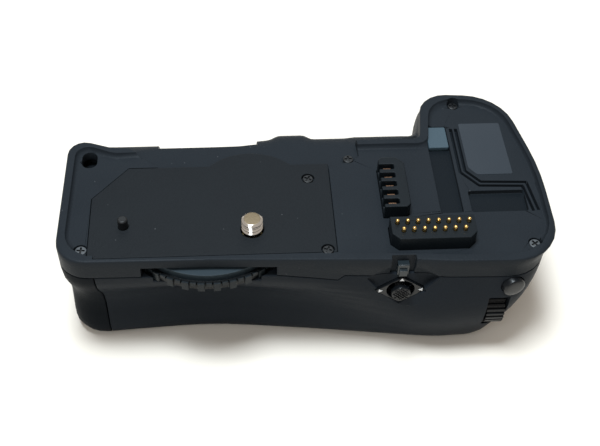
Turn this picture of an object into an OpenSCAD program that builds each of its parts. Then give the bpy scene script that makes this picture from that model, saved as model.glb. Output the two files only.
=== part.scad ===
// Vertical battery grip for a camera: a deck that screws under the camera, a housing with the
// controls for upright shooting, and a tray of cells that slides out of the left end.
// Origin: axis of the mounting screw at the deck plane. X runs right as the user sees it,
// Y runs to the front of the camera and Z runs up. Millimetres.

/* [Outline] */
// Reach of the body to the left of the mounting screw
body_left = 57.5; // [55:0.5:60]
// Reach of the body to the right of the mounting screw
body_right = 91.5; // [90:0.5:95]
// Reach of the rear edge behind the screw at the left end
rear_left = 12.2; // [11.8:0.1:13.5]
// Reach of the rear edge behind the screw at mid length
rear_mid = 13.8; // [13:0.1:15]
// Reach of the rear edge behind the selector
rear_right = 15.2; // [14.6:0.1:16]
// Reach of the rear edge behind the thumb
rear_thumb = 16.6; // [16:0.1:18]
// Distance of the front shelf's edge from the screw
front_y = 35; // [34:0.25:36.5]
// Left flank of the nose that carries on the camera's hand grip
nose_x = 56; // [54.5:0.25:57.5]
// Reach of the nose to the front
nose_reach = 56.5; // [55:0.25:60]
// Reach of the front left ear
ear_reach = 39.2; // [38:0.2:40.5]
// Plan radius of the left corners
corner_r = 9; // [6:0.5:11]
// Plan radius of the rear right corner
thumb_corner_r = 15; // [11:0.5:16]

/* [Deck] */
// Height of the lip round the deck
lip_h = 1.7; // [1:0.1:2.5]
// Width of the lip
lip_w = 2.4; // [2:0.1:3]
// Share of the lip's width that is left along the right end
right_lip = 0.62; // [0.5:0.02:0.8]
// Width of the thin lip behind the mounting plate
rear_lip_w = 1.1; // [0.8:0.1:1.6]
// Thickness of the deck
deck_t = 3; // [2.8:0.1:3.4]
// Wall of the upper shell
wall = 2.4; // [2:0.1:3]
// Drop of the front shelf below the deck
shelf_d = 1; // [0.6:0.1:1.3]
// Thickness of the mounting plate
plate_t = 1.2; // [1:0.1:1.5]
// Gap round the mounting plate
plate_gap = 0.15; // [0.1:0.05:0.3]
// Depth of the seam between the two shells
seam_d = 5.6; // [5.2:0.1:6.2]
// Width of the seam
seam_gap = 0.3; // [0.2:0.05:0.5]
// Depth of the long slot in the deck
slot_d = 1.6; // [0.8:0.1:1.8]
// Depth of the pocket and the groove in the deck
pocket_d = 1.6; // [0.8:0.1:1.8]

/* [Housing form] */
// Depth of the waist along the rear
waist_in = 5.5; // [4:0.25:6.5]
// Flare of the base under the waist
flare_out = 1.5; // [0.5:0.25:2.5]
// Further depth of the waist at mid length
waist_mid = 6.4; // [5:0.2:6.6]
// Further flare of the base at mid length
flare_mid = 3; // [2:0.2:3.6]
// Tuck of the thumb rest towards the base
thumb_tuck = 2.8; // [1:0.2:3.4]
// Swell of the thumb rest
thumb_out = 2.2; // [1:0.2:3]
// Step of the finger belly before the battery wall
belly_step = 1.6; // [1:0.2:3]
// Height of the ridges between the fingers
ridge_h = 1.9; // [0.6:0.1:2.2]
// Lean of the left end
left_lean = 0.6; // [0:0.2:2]
// Lean of the right end
right_lean = 13.5; // [11:0.5:14]
// Step of the right end under the lip
right_step = 1.75; // [1:0.25:2]
// Round of the bottom edge
base_round = 4.5; // [3:0.5:5]
// Tuck of the belly towards the bottom
belly_tuck = 2; // [1:0.25:2.5]
// Thickness of the rubber front grip
rubber_t = 1.5; // [1:0.1:1.8]

/* [Screw drive] */
// Radius of the mounting screw's thread
screw_r = 3.175; // [3:0.025:3.5]
// Height of the mounting screw over the deck
screw_up = 4.7; // [4:0.1:5.5]
// Place of the attachment wheel to the left of the screw
wheel_in = 13; // [11:0.25:15]
// Wall of the attachment wheel outside its ring gear
wheel_rim = 3.75; // [3.4:0.05:4.2]
// Grip teeth round the wheel
grip_teeth = 37; // [30:1:42]
// Depth of the wheel's top face under the deck
wheel_top = 2.8; // [2.7:0.05:3]
// Thickness of the wheel
wheel_t = 4.8; // [4.6:0.1:5.2]
// Tooth module of the ring gear and the pinion
gear_module = 1; // [0.98:0.01:1.02]
// Teeth of the wheel's ring gear
ring_teeth = 46; // [46:1:47]
// Teeth of the screw's pinion
pinion_teeth = 12; // [11:1:12]
// Radius of the screw's lower journal
journal_r = 2.2; // [2:0.1:2.4]
// Running clearance of shafts in their bores
run_gap = 0.05; // [0.03:0.01:0.09]
// Radius of the locating pin
locator_r = 1.5; // [1.2:0.1:2]
// Height of the locating pin over the deck
locator_up = 3.4; // [2.5:0.1:4.5]

/* [Battery tray] */
// Width of a cell bay
bay_w = 15; // [14.8:0.1:15.4]
// Height of a cell bay
bay_h = 14.6; // [14.4:0.1:15]
// Length of a bay that holds two cells in line
bay_l = 102.4; // [101.5:0.1:103]
// Side walls of the tray
tray_wall = 1.2; // [1:0.1:1.5]
// End walls of the tray
tray_end = 2; // [1.6:0.1:2.4]
// Web between the two layers of cells
tray_web = 0.8; // [0.8:0.1:1.4]
// Clearance of the tray in its chamber
slide_gap = 0.3; // [0.25:0.05:0.5]
// Rear wall of the chamber, in front of the screw's axis
chamber_rear = 7.2; // [7:0.1:8]
// Roof over the chamber
roof_t = 1.1; // [1:0.1:1.6]
// Floor under the chamber
floor_t = 1.6; // [1.5:0.1:2.2]
// Front wall of the chamber at the left
front_wall = 3.1; // [2.8:0.1:3.6]
// Width of the end cover
cover_w = 10.7; // [10:0.1:11.5]
// Length of the cover's neck inside the chamber
neck_l = 3.3; // [3.1:0.1:4]
// Radius of the latch knob
latch_r = 8; // [7:0.25:9]

/* [Controls] */
// Place of the selector to the right of the screw
selector_x = 43.8; // [42.5:0.1:45]
// Depth of the selector under the deck
selector_d = 12; // [11.6:0.1:12.8]
// Radius of the selector's cap
cap_r = 2.9; // [2.6:0.1:3.1]
// Radius of the focus button
focus_r = 3.4; // [3:0.1:3.6]
// Travel of the focus button
focus_travel = 0.6; // [0.3:0.1:0.8]
// Radius of the command dials
dial_r = 7.6; // [7:0.1:7.8]
// Width of the command dials
dial_w = 5.6; // [5:0.1:6]
// Ribs round a command dial
dial_ribs = 28; // [20:1:32]
// Radius of the dial shafts
dial_shaft_r = 1.25; // [1:0.05:1.5]
// Radius of the shutter button
shutter_r = 3.7; // [3.3:0.1:4]
// Travel of the shutter button
shutter_travel = 1; // [0.5:0.1:1.2]
// Outer radius of the lock collar
collar_r = 7.6; // [7:0.1:8]

/* [Connectors] */
// Height of the connector blocks over the deck
connector_up = 5; // [4.5:0.1:6]
// Pitch of the signal pins
pin_pitch = 3.05; // [2.95:0.01:3.1]
// Radius of a signal pin
pin_r = 0.6; // [0.5:0.02:0.65]
// Height of the pin tips over the deck
pin_up = 6.6; // [6.2:0.1:7.4]
// Pitch of the power contacts
blade_pitch = 3.6; // [3.4:0.05:3.8]
// Thickness of the main board
board_t = 1.6; // [1:0.1:1.6]
// Radius of the tripod socket's thread
tripod_r = 3.175; // [3:0.025:3.5]
// Length of the tripod socket
tripod_l = 8; // [6:0.25:9]

/* [Hidden] */
$fn = 48;
// Overshoot of a cut past the face it opens
over = 1;
// Reach of a cut that goes right through
deep = 20;
// Free gap between pieces that move past each other
free = 0.3;
// Clearance of a fixed insert in its hole
fit = 0.03;

// Screw drive
gear_distance = gear_module * (ring_teeth - pinion_teeth) / 2;
wheel_x = -wheel_in;
wheel_y = sqrt(gear_distance * gear_distance - wheel_in * wheel_in);
mesh_angle = atan2(-wheel_y, wheel_in);
ring_pitch_r = gear_module * ring_teeth / 2;
pinion_pitch_r = gear_module * pinion_teeth / 2;
ring_root_r = ring_pitch_r + 1.25 * gear_module;
wheel_r = ring_root_r + wheel_rim;
wheel_bottom = wheel_top + wheel_t;
wheel_bay_r = wheel_r + 2 * free;
wheel_bay_top = wheel_top - 0.4;
gear_t = 2.8;
cap_t = 0.8;
cap_bore_r = gear_distance + screw_r + 1;
rim_top = wheel_top + 1.5;
rim_half = 1.4;
groove_r = wheel_r - 1.3;
groove_w = 0.8;
land_r = ring_root_r + 0.35;
carrier_flange_t = 1;
carrier_top = wheel_bottom + free;
roof_d = carrier_top + carrier_flange_t;

// Battery chamber and tray
tray_w = 2 * bay_w + 3 * tray_wall;
tray_h = 2 * bay_h + tray_web;
tray_l = bay_l + 2 * tray_end;
chamber_w = tray_w + 2 * slide_gap;
chamber_h = tray_h + 2 * slide_gap;
chamber_top = roof_d + roof_t;
chamber_front = chamber_rear + chamber_w;
chamber_y = (chamber_rear + chamber_front) / 2;
chamber_z = -chamber_top - chamber_h / 2;
body_h = chamber_top + chamber_h + floor_t;
cover_x = cover_w - body_left;
cover_slant = 1.6;
tray_x = cover_x + neck_l;
chamber_end = tray_x + tray_l + 1.2;
latch_y = chamber_front - 8.4;
latch_z = chamber_z;
tongue_l = 9.7;
tongue_w = 5;
tongue_t = 1.6;

// Housing form
top_round = 0.8;
belly_left_y = chamber_front + front_wall;
belly_y = belly_left_y + belly_step;
belly_d = 15.5;
nose_low_y = belly_y + 2.6;
end_round = 1.9;
grip_x0 = wheel_x - 18;
grip_x1 = nose_x - 7;

// Right hand bay with the controls
bay_x0 = chamber_end + 1.6;
bay_x1 = body_right - 17;
bay_y0 = -8;
bay_y1 = 38;
bay_d = body_h - 9;
dial_gap = 0.5;
rear_dial_x = body_right - 17.3;
rear_dial_y = dial_r + 1.2 - rear_thumb - thumb_out;
rear_dial_z = -24.5;
thumb_scoop_r = 4.2;
front_dial_x = chamber_end + 2.5 + dial_w / 2 + dial_gap;
front_dial_y = nose_low_y - dial_r + 0.6;
front_dial_z = -28;
dial_slot_w = dial_w + 2 * dial_gap;
rib_t = 3.4;

// Selector: its own frame looks out of the rear face
selector_y = -rear_right + 0.2;
selector_z = -selector_d;
bezel_w = 15.2;
bezel_h = 11.8;
cap_low = 0.6;
cap_front = 2.4;
cap_edge = 0.5;
spigot_r = 1.1;
well_r = cap_r + 1.2;
bezel_web = 1;
bezel_t = 2.4;
pivot_z = -6.2;
gimbal_r = 4;
gimbal_t = 2.2;
trunnion_r = 0.7;
stem_r = 1.5;
base_z = -10.6;
dish_r = 15;

// Focus button and shutter release: their own frames look out of the housing
focus_x = body_right - 13.9;
focus_y = -rear_thumb - 0.45;
focus_z = -seam_d - 4.5;
focus_yaw = 14;
button_seat = 3.4;
flange_t = 0.8;
flange_w = 0.7;
switch_h = 1.8;
switch_w = 5.6;
plunger_h = 0.9;
plate_back_t = 1;
shutter_x = body_right - 6.4;
shutter_y = 36;
shutter_z = -16.4;
shutter_yaw = 10;
shutter_dip = 15;
hub_wall = 0.7;
collar_t = 1.9;
collar_sweep = 35;

// Deck details
head_r = 1.65;
head_t = 0.9;
head_bore_r = 2;
shank_r = 0.8;
shank_l = 3.4;
plate_x0 = -48.2;
plate_x1 = 24.7;
plate_y0 = -9.6;
plate_y1 = 26.3;
plate_arc_y = 14.2;
plate_arc_r = 17.5;
board_x0 = 30;
board_x1 = 70;
board_y0 = -9;
board_y1 = 31.5;
board_top = -deck_t - 1;
power_x = 39.8;
power_y = 2.9;
power_w = 8;
power_l = 20.7;
signal_x = 40.7;
signal_y = -9.8;
signal_w = 25.2;
signal_l = 8.8;
signal_cut = 2.2;
slot_x0 = 57.6;
slot_x1 = 64.6;
slot_y0 = 4.3;
slot_y1 = 41.8;
insert_l = 9.6;
ear_hole_x = 7.6 - body_left;
ear_hole_y = ear_reach - 8.9;
ear_hole_w = 4.7;
ear_hole_l = 6.6;
tab_x = selector_x;
tab_w = 3.4;
locator_x = -38.2;
locator_y = 2.4;
locator_head_r = locator_r + 0.6;
locator_head_t = 0.7;
locator_neck_r = locator_r - 0.3;
tripod_y = 2.4;
bush_wall = 1;

black_screw_at = [[plate_x1 - 2.7, -8.6], [18, plate_y1 - 6.1], [31.4, 28.4], [68.7, nose_reach - 4.6]];
bright_screw_at = [[7.4 - body_left, 6 - rear_left], [body_right - 7.7, 8 - rear_thumb]];
base_screw_at = [[cover_x + 8, 0.5], [-18, 0.5], [28, 0], [bay_x0 - 6, -1]];
carrier_screw_at = [for (a = [100, 195, 290]) [wheel_x + 19 * cos(a), wheel_y + 19 * sin(a)]];
board_screw_at = [[board_x0 + 6.5, board_y1 - 3], [board_x1 - 3, board_y1 - 3], [board_x1 - 3, board_y0 + 11.5]];

// Smooth step from 0 at a to 1 at b
function ease(d, a, b) =
    let (t = min(max((d - a) / (b - a), 0), 1))
    t * t * (3 - 2 * t);
function mix(a, b, t) = a + (b - a) * t;
function unit(v) = v / norm(v);

// Profiles over the depth d under the deck
function waist(d) = waist_in * ease(d, 8, 26) - flare_out * ease(d, 27, body_h - 6);
function swell(d) = thumb_out * (ease(d, 4, 20) - 0.7 * ease(d, 25, body_h)) - thumb_tuck * ease(d, 22, body_h);
function waist_at_mid(d) = waist(d) + waist_mid * ease(d, 8, 24) - flare_mid * ease(d, 25, body_h - 4);
function shoulder(d) =
    let (t = min(max((d - shelf_d) / belly_d, 0), 1))
    sqrt(1 - (1 - t) * (1 - t));
function tuck(d) = belly_tuck * ease(d, body_h - 16, body_h);
function belly(d, reach) = mix(front_y, reach, shoulder(d)) - tuck(d);
function nose(d) = mix(nose_reach, nose_low_y, ease(d, 4, 26)) - tuck(d);
function ear(d) = mix(ear_reach, belly_left_y, ease(d, 1, 13)) - tuck(d);

// Rounding of the lip and the bottom edge: how far the outline draws in at depth d
function edge_in(d) =
    let (
        top = max(top_round - lip_h - d, 0),
        low = max(d - body_h + base_round, 0)
    )
    top_round - sqrt(top_round * top_round - top * top)
    + base_round - sqrt(base_round * base_round - low * low);

// Corners of the plan at depth d: place, radius, how far the edge's round moves them and points on the arc
function corners(d) =
    let (
        w = waist(d),
        m = waist_at_mid(d),
        s = swell(d),
        u = 2.4 * ease(d, 18, body_h),
        b = belly(d, belly_y),
        f = belly(d, belly_left_y) - 0.8 * (1 - ease(d, 2, 12)),
        g = b + ridge_h * (1 - ease(d, body_h - 14, body_h - 4)),
        h = mix(b, g, 0.25),
        left = left_lean * max(d, 0) / body_h - body_left,
        right = body_right - right_step * ease(d, -0.8, 3.4) - right_lean * pow(max(d, 0) / body_h, 1.4),
        n = nose(d),
        low = ease(d, 0, 12)
    )
    [
        [left, w - rear_left, corner_r, -1.7, -1.1, 7],
        [wheel_x, m - mix(rear_left, rear_mid, 0.3), 140, 0, -0.7, 4],
        [selector_x - 26, mix(m, -s, 0.45) - rear_mid, 110, 0, -0.8, 5],
        [selector_x + 8, -rear_right - s, 110, 0, -1, 5],
        [body_right - 34, -mix(rear_right, rear_thumb, 0.45) - s, 60, 0, -1, 4],
        [right - 0.5, u - rear_thumb - 0.5 * s, thumb_corner_r - 3.5 * low, end_round, -1, 8],
        [right, 21, 90, end_round, 0, 4],
        [right - mix(6.6, 3, low), n - 1.9, mix(20, 10, low), end_round, 1, 7],
        [nose_x + mix(2, 1, low), n, 9, -1, 1, 6],
        [nose_x - 1, b + 0.3, 4, -1, 1, 4],
        [nose_x - 6, h, 3, 0, 1, 3],
        [selector_x - 9, h, 3, 0, 1, 3],
        [selector_x - 12.5, b, 3, 0, 1, 3],
        [selector_x - 23.5, b, 3, 0, 1, 3],
        [selector_x - 25.5, g, 3, 0, 1, 3],
        [selector_x - 34, g, 3, 0, 1, 3],
        [selector_x - 37, b, 4, 0, 1, 3],
        [wheel_x + 10, mix(b, f, 0.7), 12, 0, 1, 3],
        [wheel_x - 17, f, 12, 0, 1, 3],
        [left + 15, f, 8, 0, 1, 3],
        [left + 0.8, ear(d), 6, -1, 1, 6]
    ];

// n points on the round of the corner p1 between its neighbours, limited by the room beside it
function corner_arc(p0, p1, p2, r, n) =
    let (
        u = unit(p0 - p1),
        v = unit(p2 - p1),
        half = acos(min(max(u * v, -1), 1)) / 2,
        t = min(r / tan(half), 0.46 * min(norm(p0 - p1), norm(p2 - p1))),
        q = t * tan(half),
        a = p1 + u * t,
        b = p1 + v * t,
        straight = norm(u + v) < 0.0005,
        c = straight ? p1 : p1 + unit(u + v) * q / sin(half),
        start = atan2(a.y - c.y, a.x - c.x),
        turn = atan2((a.x - c.x) * (b.y - c.y) - (a.y - c.y) * (b.x - c.x), (a - c) * (b - c))
    )
    [for (i = [0:n - 1])
        let (k = i / (n - 1), g = start + turn * k)
        straight ? a + (b - a) * k : c + q * [cos(g), sin(g)]];

// Plan of the housing at depth d, drawn in by inset
function outline(d, inset) =
    let (
        all = corners(d),
        e = edge_in(d),
        k = len(all),
        p = [for (c = all) [c[0] - inset * min(sign(c[3]), right_lip) - e * c[3], c[1] - inset * sign(c[4]) - e * c[4]]]
    )
    [for (i = [0:k - 1])
        each corner_arc(p[(i + k - 1) % k], p[i], p[(i + 1) % k], all[i][2], all[i][5])];

// Solid through a stack of plans, from the top down: each level is [depth of plan, inset, z]
module loft(levels) {
    rings = [for (v = levels) [for (p = outline(v[0], v[1])) [p.x, p.y, v[2]]]];
    n = len(rings[0]);
    m = len(levels);
    middle = [nose_x + 2, 18];
    points = concat(
        [for (ring = rings) each ring],
        [[middle.x, middle.y, levels[0][2]], [middle.x, middle.y, levels[m - 1][2]]]
    );
    sides = [for (i = [0:m - 2], j = [0:n - 1])
        let (a = i * n + j, b = i * n + (j + 1) % n)
        each [[a, b, b + n], [a, b + n, a + n]]];
    top = [for (j = [0:n - 1]) [m * n, (j + 1) % n, j]];
    bottom = [for (j = [0:n - 1]) [m * n + 1, (m - 1) * n + j, (m - 1) * n + (j + 1) % n]];
    polyhedron(points, concat(sides, top, bottom));
}

upper_depths = [-lip_h, 0.3 * top_round - lip_h, top_round - lip_h, shelf_d, 2, 3.2, 4.7, 6.4, 9];
lower_depths = [
    3.2, 4.7, 6.4, 8.6, 11.5, 15, 19, 23, 27, 31, 35, body_h - base_round,
    body_h - 0.55 * base_round, body_h - 0.22 * base_round, body_h - 0.04 * base_round, body_h
];
grip_depths = [8.6, 11.5, 15, 20, 26, 32, body_h - base_round];
module housing(depths, inset = 0) {
    last = depths[len(depths) - 1];
    loft(concat(
        [[depths[0], inset, over - depths[0]]],
        [for (d = depths) [d, inset, -d]],
        [[last, inset, -last - over]]
    ));
}

// Plane figure in X and Z, carried through the whole depth of the body in Y
module through_y(points) {
    translate([0, 120, 0])
        rotate([90, 0, 0])
            linear_extrude(240)
                polygon(points);
}
seam_step_x = selector_x - 17;
function seam_line(z) = [
    [-200, z - seam_d], [wheel_x + 21, z - seam_d], [seam_step_x - 2, z - seam_d - 2],
    [seam_step_x, z - seam_d], [200, z - seam_d - 1]
];
module over_seam() {
    through_y(concat(seam_line(0), [[200, lip_h], [-200, lip_h]]));
}
module under_seam() {
    through_y(concat(seam_line(-seam_gap), [[200, -body_h], [-200, -body_h]]));
}
// Space of the end cover, left of its slanting joint with the lower shell
module cover_space(gap) {
    z = -seam_d - seam_gap;
    through_y([
        [-200, z + gap], [cover_x + gap, z + gap], [cover_x + gap + 0.5 * cover_slant, chamber_z],
        [cover_x + gap + cover_slant, -body_h - gap], [-200, -body_h - gap]
    ]);
}

module box(low, high) {
    translate(low)
        cube(high - low);
}
module rod_z(r, z0, z1) {
    translate([0, 0, z0])
        cylinder(r = r, h = z1 - z0);
}
module rod_x(r, x0, x1) {
    translate([x0, 0, 0])
        rotate([0, 90, 0])
            cylinder(r = r, h = x1 - x0);
}
// Flat rectangle with round corners
module round_rect(x0, y0, x1, y1, r) {
    translate([x0 + r, y0])
        square([x1 - x0 - 2 * r, y1 - y0]);
    translate([x0, y0 + r])
        square([x1 - x0, y1 - y0 - 2 * r]);
    for (x = [x0 + r, x1 - r], y = [y0 + r, y1 - r])
        translate([x, y])
            circle(r);
}
// Band of width w along a path with mitred corners
function path_side(p, w) = [for (i = [0:len(p) - 1])
    let (
        u = unit(i == 0 ? p[1] - p[0] : p[i] - p[i - 1]),
        v = unit(i == len(p) - 1 ? u : p[i + 1] - p[i]),
        m = unit([-u.y - v.y, u.x + v.x])
    )
    p[i] + m * w / (m * [-u.y, u.x])];
module band(path, w) {
    there = path_side(path, w / 2);
    back = path_side(path, -w / 2);
    polygon(concat(there, [for (i = [len(back) - 1:-1:0]) back[i]]));
}

// Involute teeth: half angle of a tooth at radius r, for pressure angle 25
pressure = 25;
function involute(base, r) =
    let (a = acos(min(base / max(r, base), 1)))
    tan(a) * 180 / PI - a;
function tooth_half(teeth, r, slack) =
    let (pitch = gear_module * teeth / 2, base = pitch * cos(pressure))
    90 / teeth + involute(base, pitch) - involute(base, r) + slack / r * 180 / PI;
function gear_plan(teeth, low, high, slack) =
    let (radii = [for (k = [0:3]) mix(low, high, k / 3)])
    [for (i = [0:teeth - 1])
        let (a = mesh_angle + i * 360 / teeth)
        each concat(
            [for (r = radii) let (g = a - tooth_half(teeth, r, slack)) r * [cos(g), sin(g)]],
            [for (k = [3:-1:0]) let (g = a + tooth_half(teeth, radii[k], slack)) radii[k] * [cos(g), sin(g)]]
        )];
tooth_slack = 0.07;

module at_wheel() {
    translate([wheel_x, wheel_y, 0])
        children();
}
module at_selector() {
    translate([selector_x, selector_y, selector_z])
        rotate([90, 0, 0])
            children();
}
module at_focus() {
    translate([focus_x, focus_y, focus_z])
        rotate([90, 0, focus_yaw])
            children();
}
module at_shutter() {
    translate([shutter_x, shutter_y, shutter_z])
        rotate([0, 90 + shutter_dip, shutter_yaw])
            children();
}
module at_rear_dial() {
    translate([rear_dial_x, rear_dial_y, rear_dial_z])
        children();
}
module at_front_dial() {
    translate([front_dial_x, front_dial_y, front_dial_z])
        children();
}
module at_latch() {
    translate([0, latch_y, latch_z])
        children();
}

// Outline of the mounting plate, grown by gap
module plate_plan(gap) {
    polygon([
        [plate_x0 - gap, plate_y0 - gap], [plate_x1 + gap, plate_y0 - gap],
        [plate_x1 + gap, plate_y1 + gap], [plate_x0 + 10.6, plate_y1 + gap],
        [plate_x0 - gap, plate_y1 - 12.5]
    ]);
    translate([0, plate_arc_y])
        circle(plate_arc_r + gap);
}
module power_plan(gap) {
    polygon([
        [power_x - gap, power_y - gap], [power_x + power_w - 1.2, power_y - gap],
        [power_x + power_w + gap, power_y + 1.2], [power_x + power_w + gap, power_y + power_l - 2.4],
        [power_x + power_w - 2.4, power_y + power_l + gap], [power_x + 1, power_y + power_l + gap],
        [power_x - gap, power_y + power_l - 1]
    ]);
}
module signal_plan(gap) {
    polygon([
        [signal_x + signal_cut, signal_y - gap], [signal_x + signal_w - signal_cut, signal_y - gap],
        [signal_x + signal_w + gap, signal_y + signal_cut], [signal_x + signal_w + gap, signal_y + signal_l + gap],
        [signal_x - gap, signal_y + signal_l + gap], [signal_x - gap, signal_y + signal_cut]
    ]);
}
signal_mid = signal_x + signal_w / 2;
pin_at = concat(
    [for (i = [0:7]) [signal_mid + (i - 3.5) * pin_pitch, signal_y + signal_l - 2.6]],
    [for (i = [0:6]) [signal_mid + (i - 3) * pin_pitch, signal_y + signal_l - 2.6 - pin_pitch]]
);
blade_at = [for (i = [0:4]) [power_x + 2.6, power_y + power_l / 2 + (i - 2) * blade_pitch - 0.8]];
blade_w = 0.8;
blade_l = 2.4;
blade_slot_w = 2;
blade_slot_l = 4.6;
blade_floor = 1.2;
groove_path = [
    [slot_x1 + 2.4, slot_y1 - 1], [slot_x1 + 2.4, 21.4], [slot_x1 + 7, 16], [body_right - 6, 15.4],
    [body_right - 4.6, slot_y0]
];

// Upper shell: deck with its lip and recesses, and the band down to the seam
module upper_shell() {
    color([0.07, 0.075, 0.085]) {
        difference() {
            deck_with_openings();
            deck_pockets();
            deck_screw_holes();
        }
        for (p = board_screw_at)
            translate([p.x, p.y, 0])
                difference() {
                    rod_z(2.4, board_top, -deck_t);
                    rod_z(shank_r + fit, board_top - over, -deck_t + over);
                }
    }
}
// Moulded tray form: the band over the seam, the recess inside the lip, the hollow under the deck
module deck_blank() {
    difference() {
        union() {
            difference() {
                intersection() {
                    housing(upper_depths);
                    over_seam();
                }
                loft([
                    [0, lip_w, lip_h + over], [0, lip_w + 0.2, 1], [0, lip_w + 0.7, 0.35],
                    [0, lip_w + 1.8, -0.2], [0, lip_w + 1.8, -seam_d - 6]
                ]);
            }
            translate([0, 0, -deck_t - over])
                linear_extrude(deck_t + over)
                    polygon(outline(0, lip_w + 0.8));
        }
        translate([0, 0, -seam_d - 6])
            linear_extrude(seam_d + 6 - deck_t)
                polygon(outline(shelf_d, wall));
    }
}
module deck_with_openings() {
    difference() {
        difference() {
            difference() {
                deck_blank();
                box([plate_x0 + 2, rear_lip_w - rear_left, 0], [selector_x - 8, 0, lip_h + over]);
                front_shelf();
                tab_notch();
                selector_scoops();
            }
            rear_window();
            front_window();
        }
        at_wheel()
            rod_z(wheel_bay_r, -deep, -wheel_bay_top);
    }
}
module deck_pockets() {
    translate([0, 0, -plate_t])
        linear_extrude(plate_t + lip_h + over)
            plate_plan(plate_gap);
    translate([0, 0, -slot_d])
        linear_extrude(lip_h + over)
            round_rect(slot_x0, slot_y0, slot_x1, slot_y1, 0.8);
    translate([0, 0, -pocket_d])
        linear_extrude(lip_h + over)
            round_rect(slot_x1 + 2.6, slot_y0, body_right - 6.8, 13, 0.8);
    translate([0, 0, -pocket_d])
        linear_extrude(lip_h + over)
            difference() {
                band(groove_path, 2.6);
                band(groove_path, 0.7);
            }
    translate([0, 0, -deep])
        linear_extrude(2 * deep)
            power_plan(plate_gap);
    translate([0, 0, -deep])
        linear_extrude(2 * deep)
            signal_plan(plate_gap);
    translate([0, 0, -deep])
        linear_extrude(2 * deep)
            round_rect(
                ear_hole_x - ear_hole_w / 2, ear_hole_y - ear_hole_l / 2,
                ear_hole_x + ear_hole_w / 2, ear_hole_y + ear_hole_l / 2, ear_hole_w / 2 - 0.1
            );
}
module deck_screw_holes() {
    rod_z(screw_r + 2 * free, -deep, over);
    translate([locator_x, locator_y, -plate_t - locator_head_t])
        rod_z(locator_head_r + fit, 0, plate_t);
    for (p = concat(black_screw_at, bright_screw_at))
        translate([p.x, p.y, 0]) {
            rod_z(head_bore_r, -1.1, lip_h + over);
            rod_z(shank_r + fit, -deep, 0);
        }
}
// Lower shelf along the front edge, with the mounting plate left standing
module front_shelf() {
    translate([0, 0, -shelf_d])
        linear_extrude(lip_h + shelf_d + over)
            difference() {
                polygon([
                    [-28.6, plate_y1 - 2], [-28.6, plate_y1 + 0.4], [-38.6, front_y - 0.8], [-38.6, front_y + 30],
                    [selector_x - 11.5, front_y + 30], [selector_x - 9, front_y - 5.5],
                    [selector_x - 12, plate_y1 + 1], [plate_x1 + plate_gap, plate_y1 - 2]
                ]);
                plate_plan(plate_gap);
            }
}
// Openings that the attachment wheel reaches out of, rear and front
window_half = 19.8;
module rear_window() {
    box([wheel_x - window_half, -rear_mid - deep, -deep], [wheel_x + window_half, 6 - rear_left, -1.8]);
}
module front_window() {
    box(
        [wheel_x - window_half + 4, front_y + 1.6, -wheel_bottom - free],
        [wheel_x + window_half - 4, front_y + 1.5 * deep, 2 * over]
    );
}
// Gap in the rear lip over the selector
module tab_notch() {
    box([tab_x - tab_w - 0.2, -rear_thumb - deep, -seam_d - 6], [tab_x + tab_w + 0.2, 2.2 - rear_right, lip_h + over]);
}

// Lower shell: one moulding with the battery chamber, the control bay and the seats of the controls
module lower_shell() {
    color([0.06, 0.063, 0.07])
        difference() {
            union() {
                intersection() {
                    housing(lower_depths);
                    under_seam();
                }
                at_shutter() {
                    rod_z(collar_r + 1.2, -9, 0);
                    rod_z(shutter_r + hub_wall + 0.2, -9, collar_t + free);
                }
            }
            cover_space(seam_gap);
            box([cover_x - 20, chamber_rear, -chamber_top - chamber_h], [chamber_end, chamber_front, -chamber_top]);
            at_wheel()
                rod_z(wheel_bay_r, -carrier_top, over);
            translate([0, 0, -roof_d])
                linear_extrude(roof_d)
                    flange_plan(plate_gap);
            front_window();
            box([cover_x + 6, 6 - rear_left, -roof_d], [bay_x0 + 4, belly_left_y - 10, over]);
            difference() {
                control_bay();
                bay_ribs();
            }
            rubber_cut(0);
            selector_cuts();
            selector_scoops();
            at_focus()
                button_bore(focus_r);
            at_shutter() {
                button_bore(shutter_r);
                rod_z(shutter_r + 0.2, -over, 20);
            }
            dial_cuts();
            tripod_bore();
            latch_slot();
            for (p = base_screw_at)
                translate([p.x, p.y, -body_h]) {
                    rod_z(head_bore_r, -over, 1.1);
                    rod_z(shank_r + fit, 0, shank_l + 1.4);
                }
            for (p = carrier_screw_at)
                translate([p.x, p.y, -roof_d])
                    rod_z(shank_r + fit, -roof_t - over, over);
        }
}
module control_bay() {
    box([bay_x0, bay_y0, -bay_d], [bay_x1, bay_y1, over]);
}
// What stands in the control bay: shaft ribs, and the bosses behind the two buttons
module bay_ribs() {
    at_rear_dial()
        box([-dial_slot_w / 2 - rib_t, -dial_r, -4.5], [-dial_slot_w / 2, 4.5, 4.5]);
    at_front_dial() {
        box([-20, -4.5, -4.5], [-dial_slot_w / 2, dial_r, 4.5]);
        box([dial_slot_w / 2, -4.5, -4.5], [dial_slot_w / 2 + rib_t, dial_r, 4.5]);
    }
    at_focus()
        rod_z(focus_r + 2.4, -12, 0);
    at_shutter()
        rod_z(shutter_r + 2.6, -12, 0);
}
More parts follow.
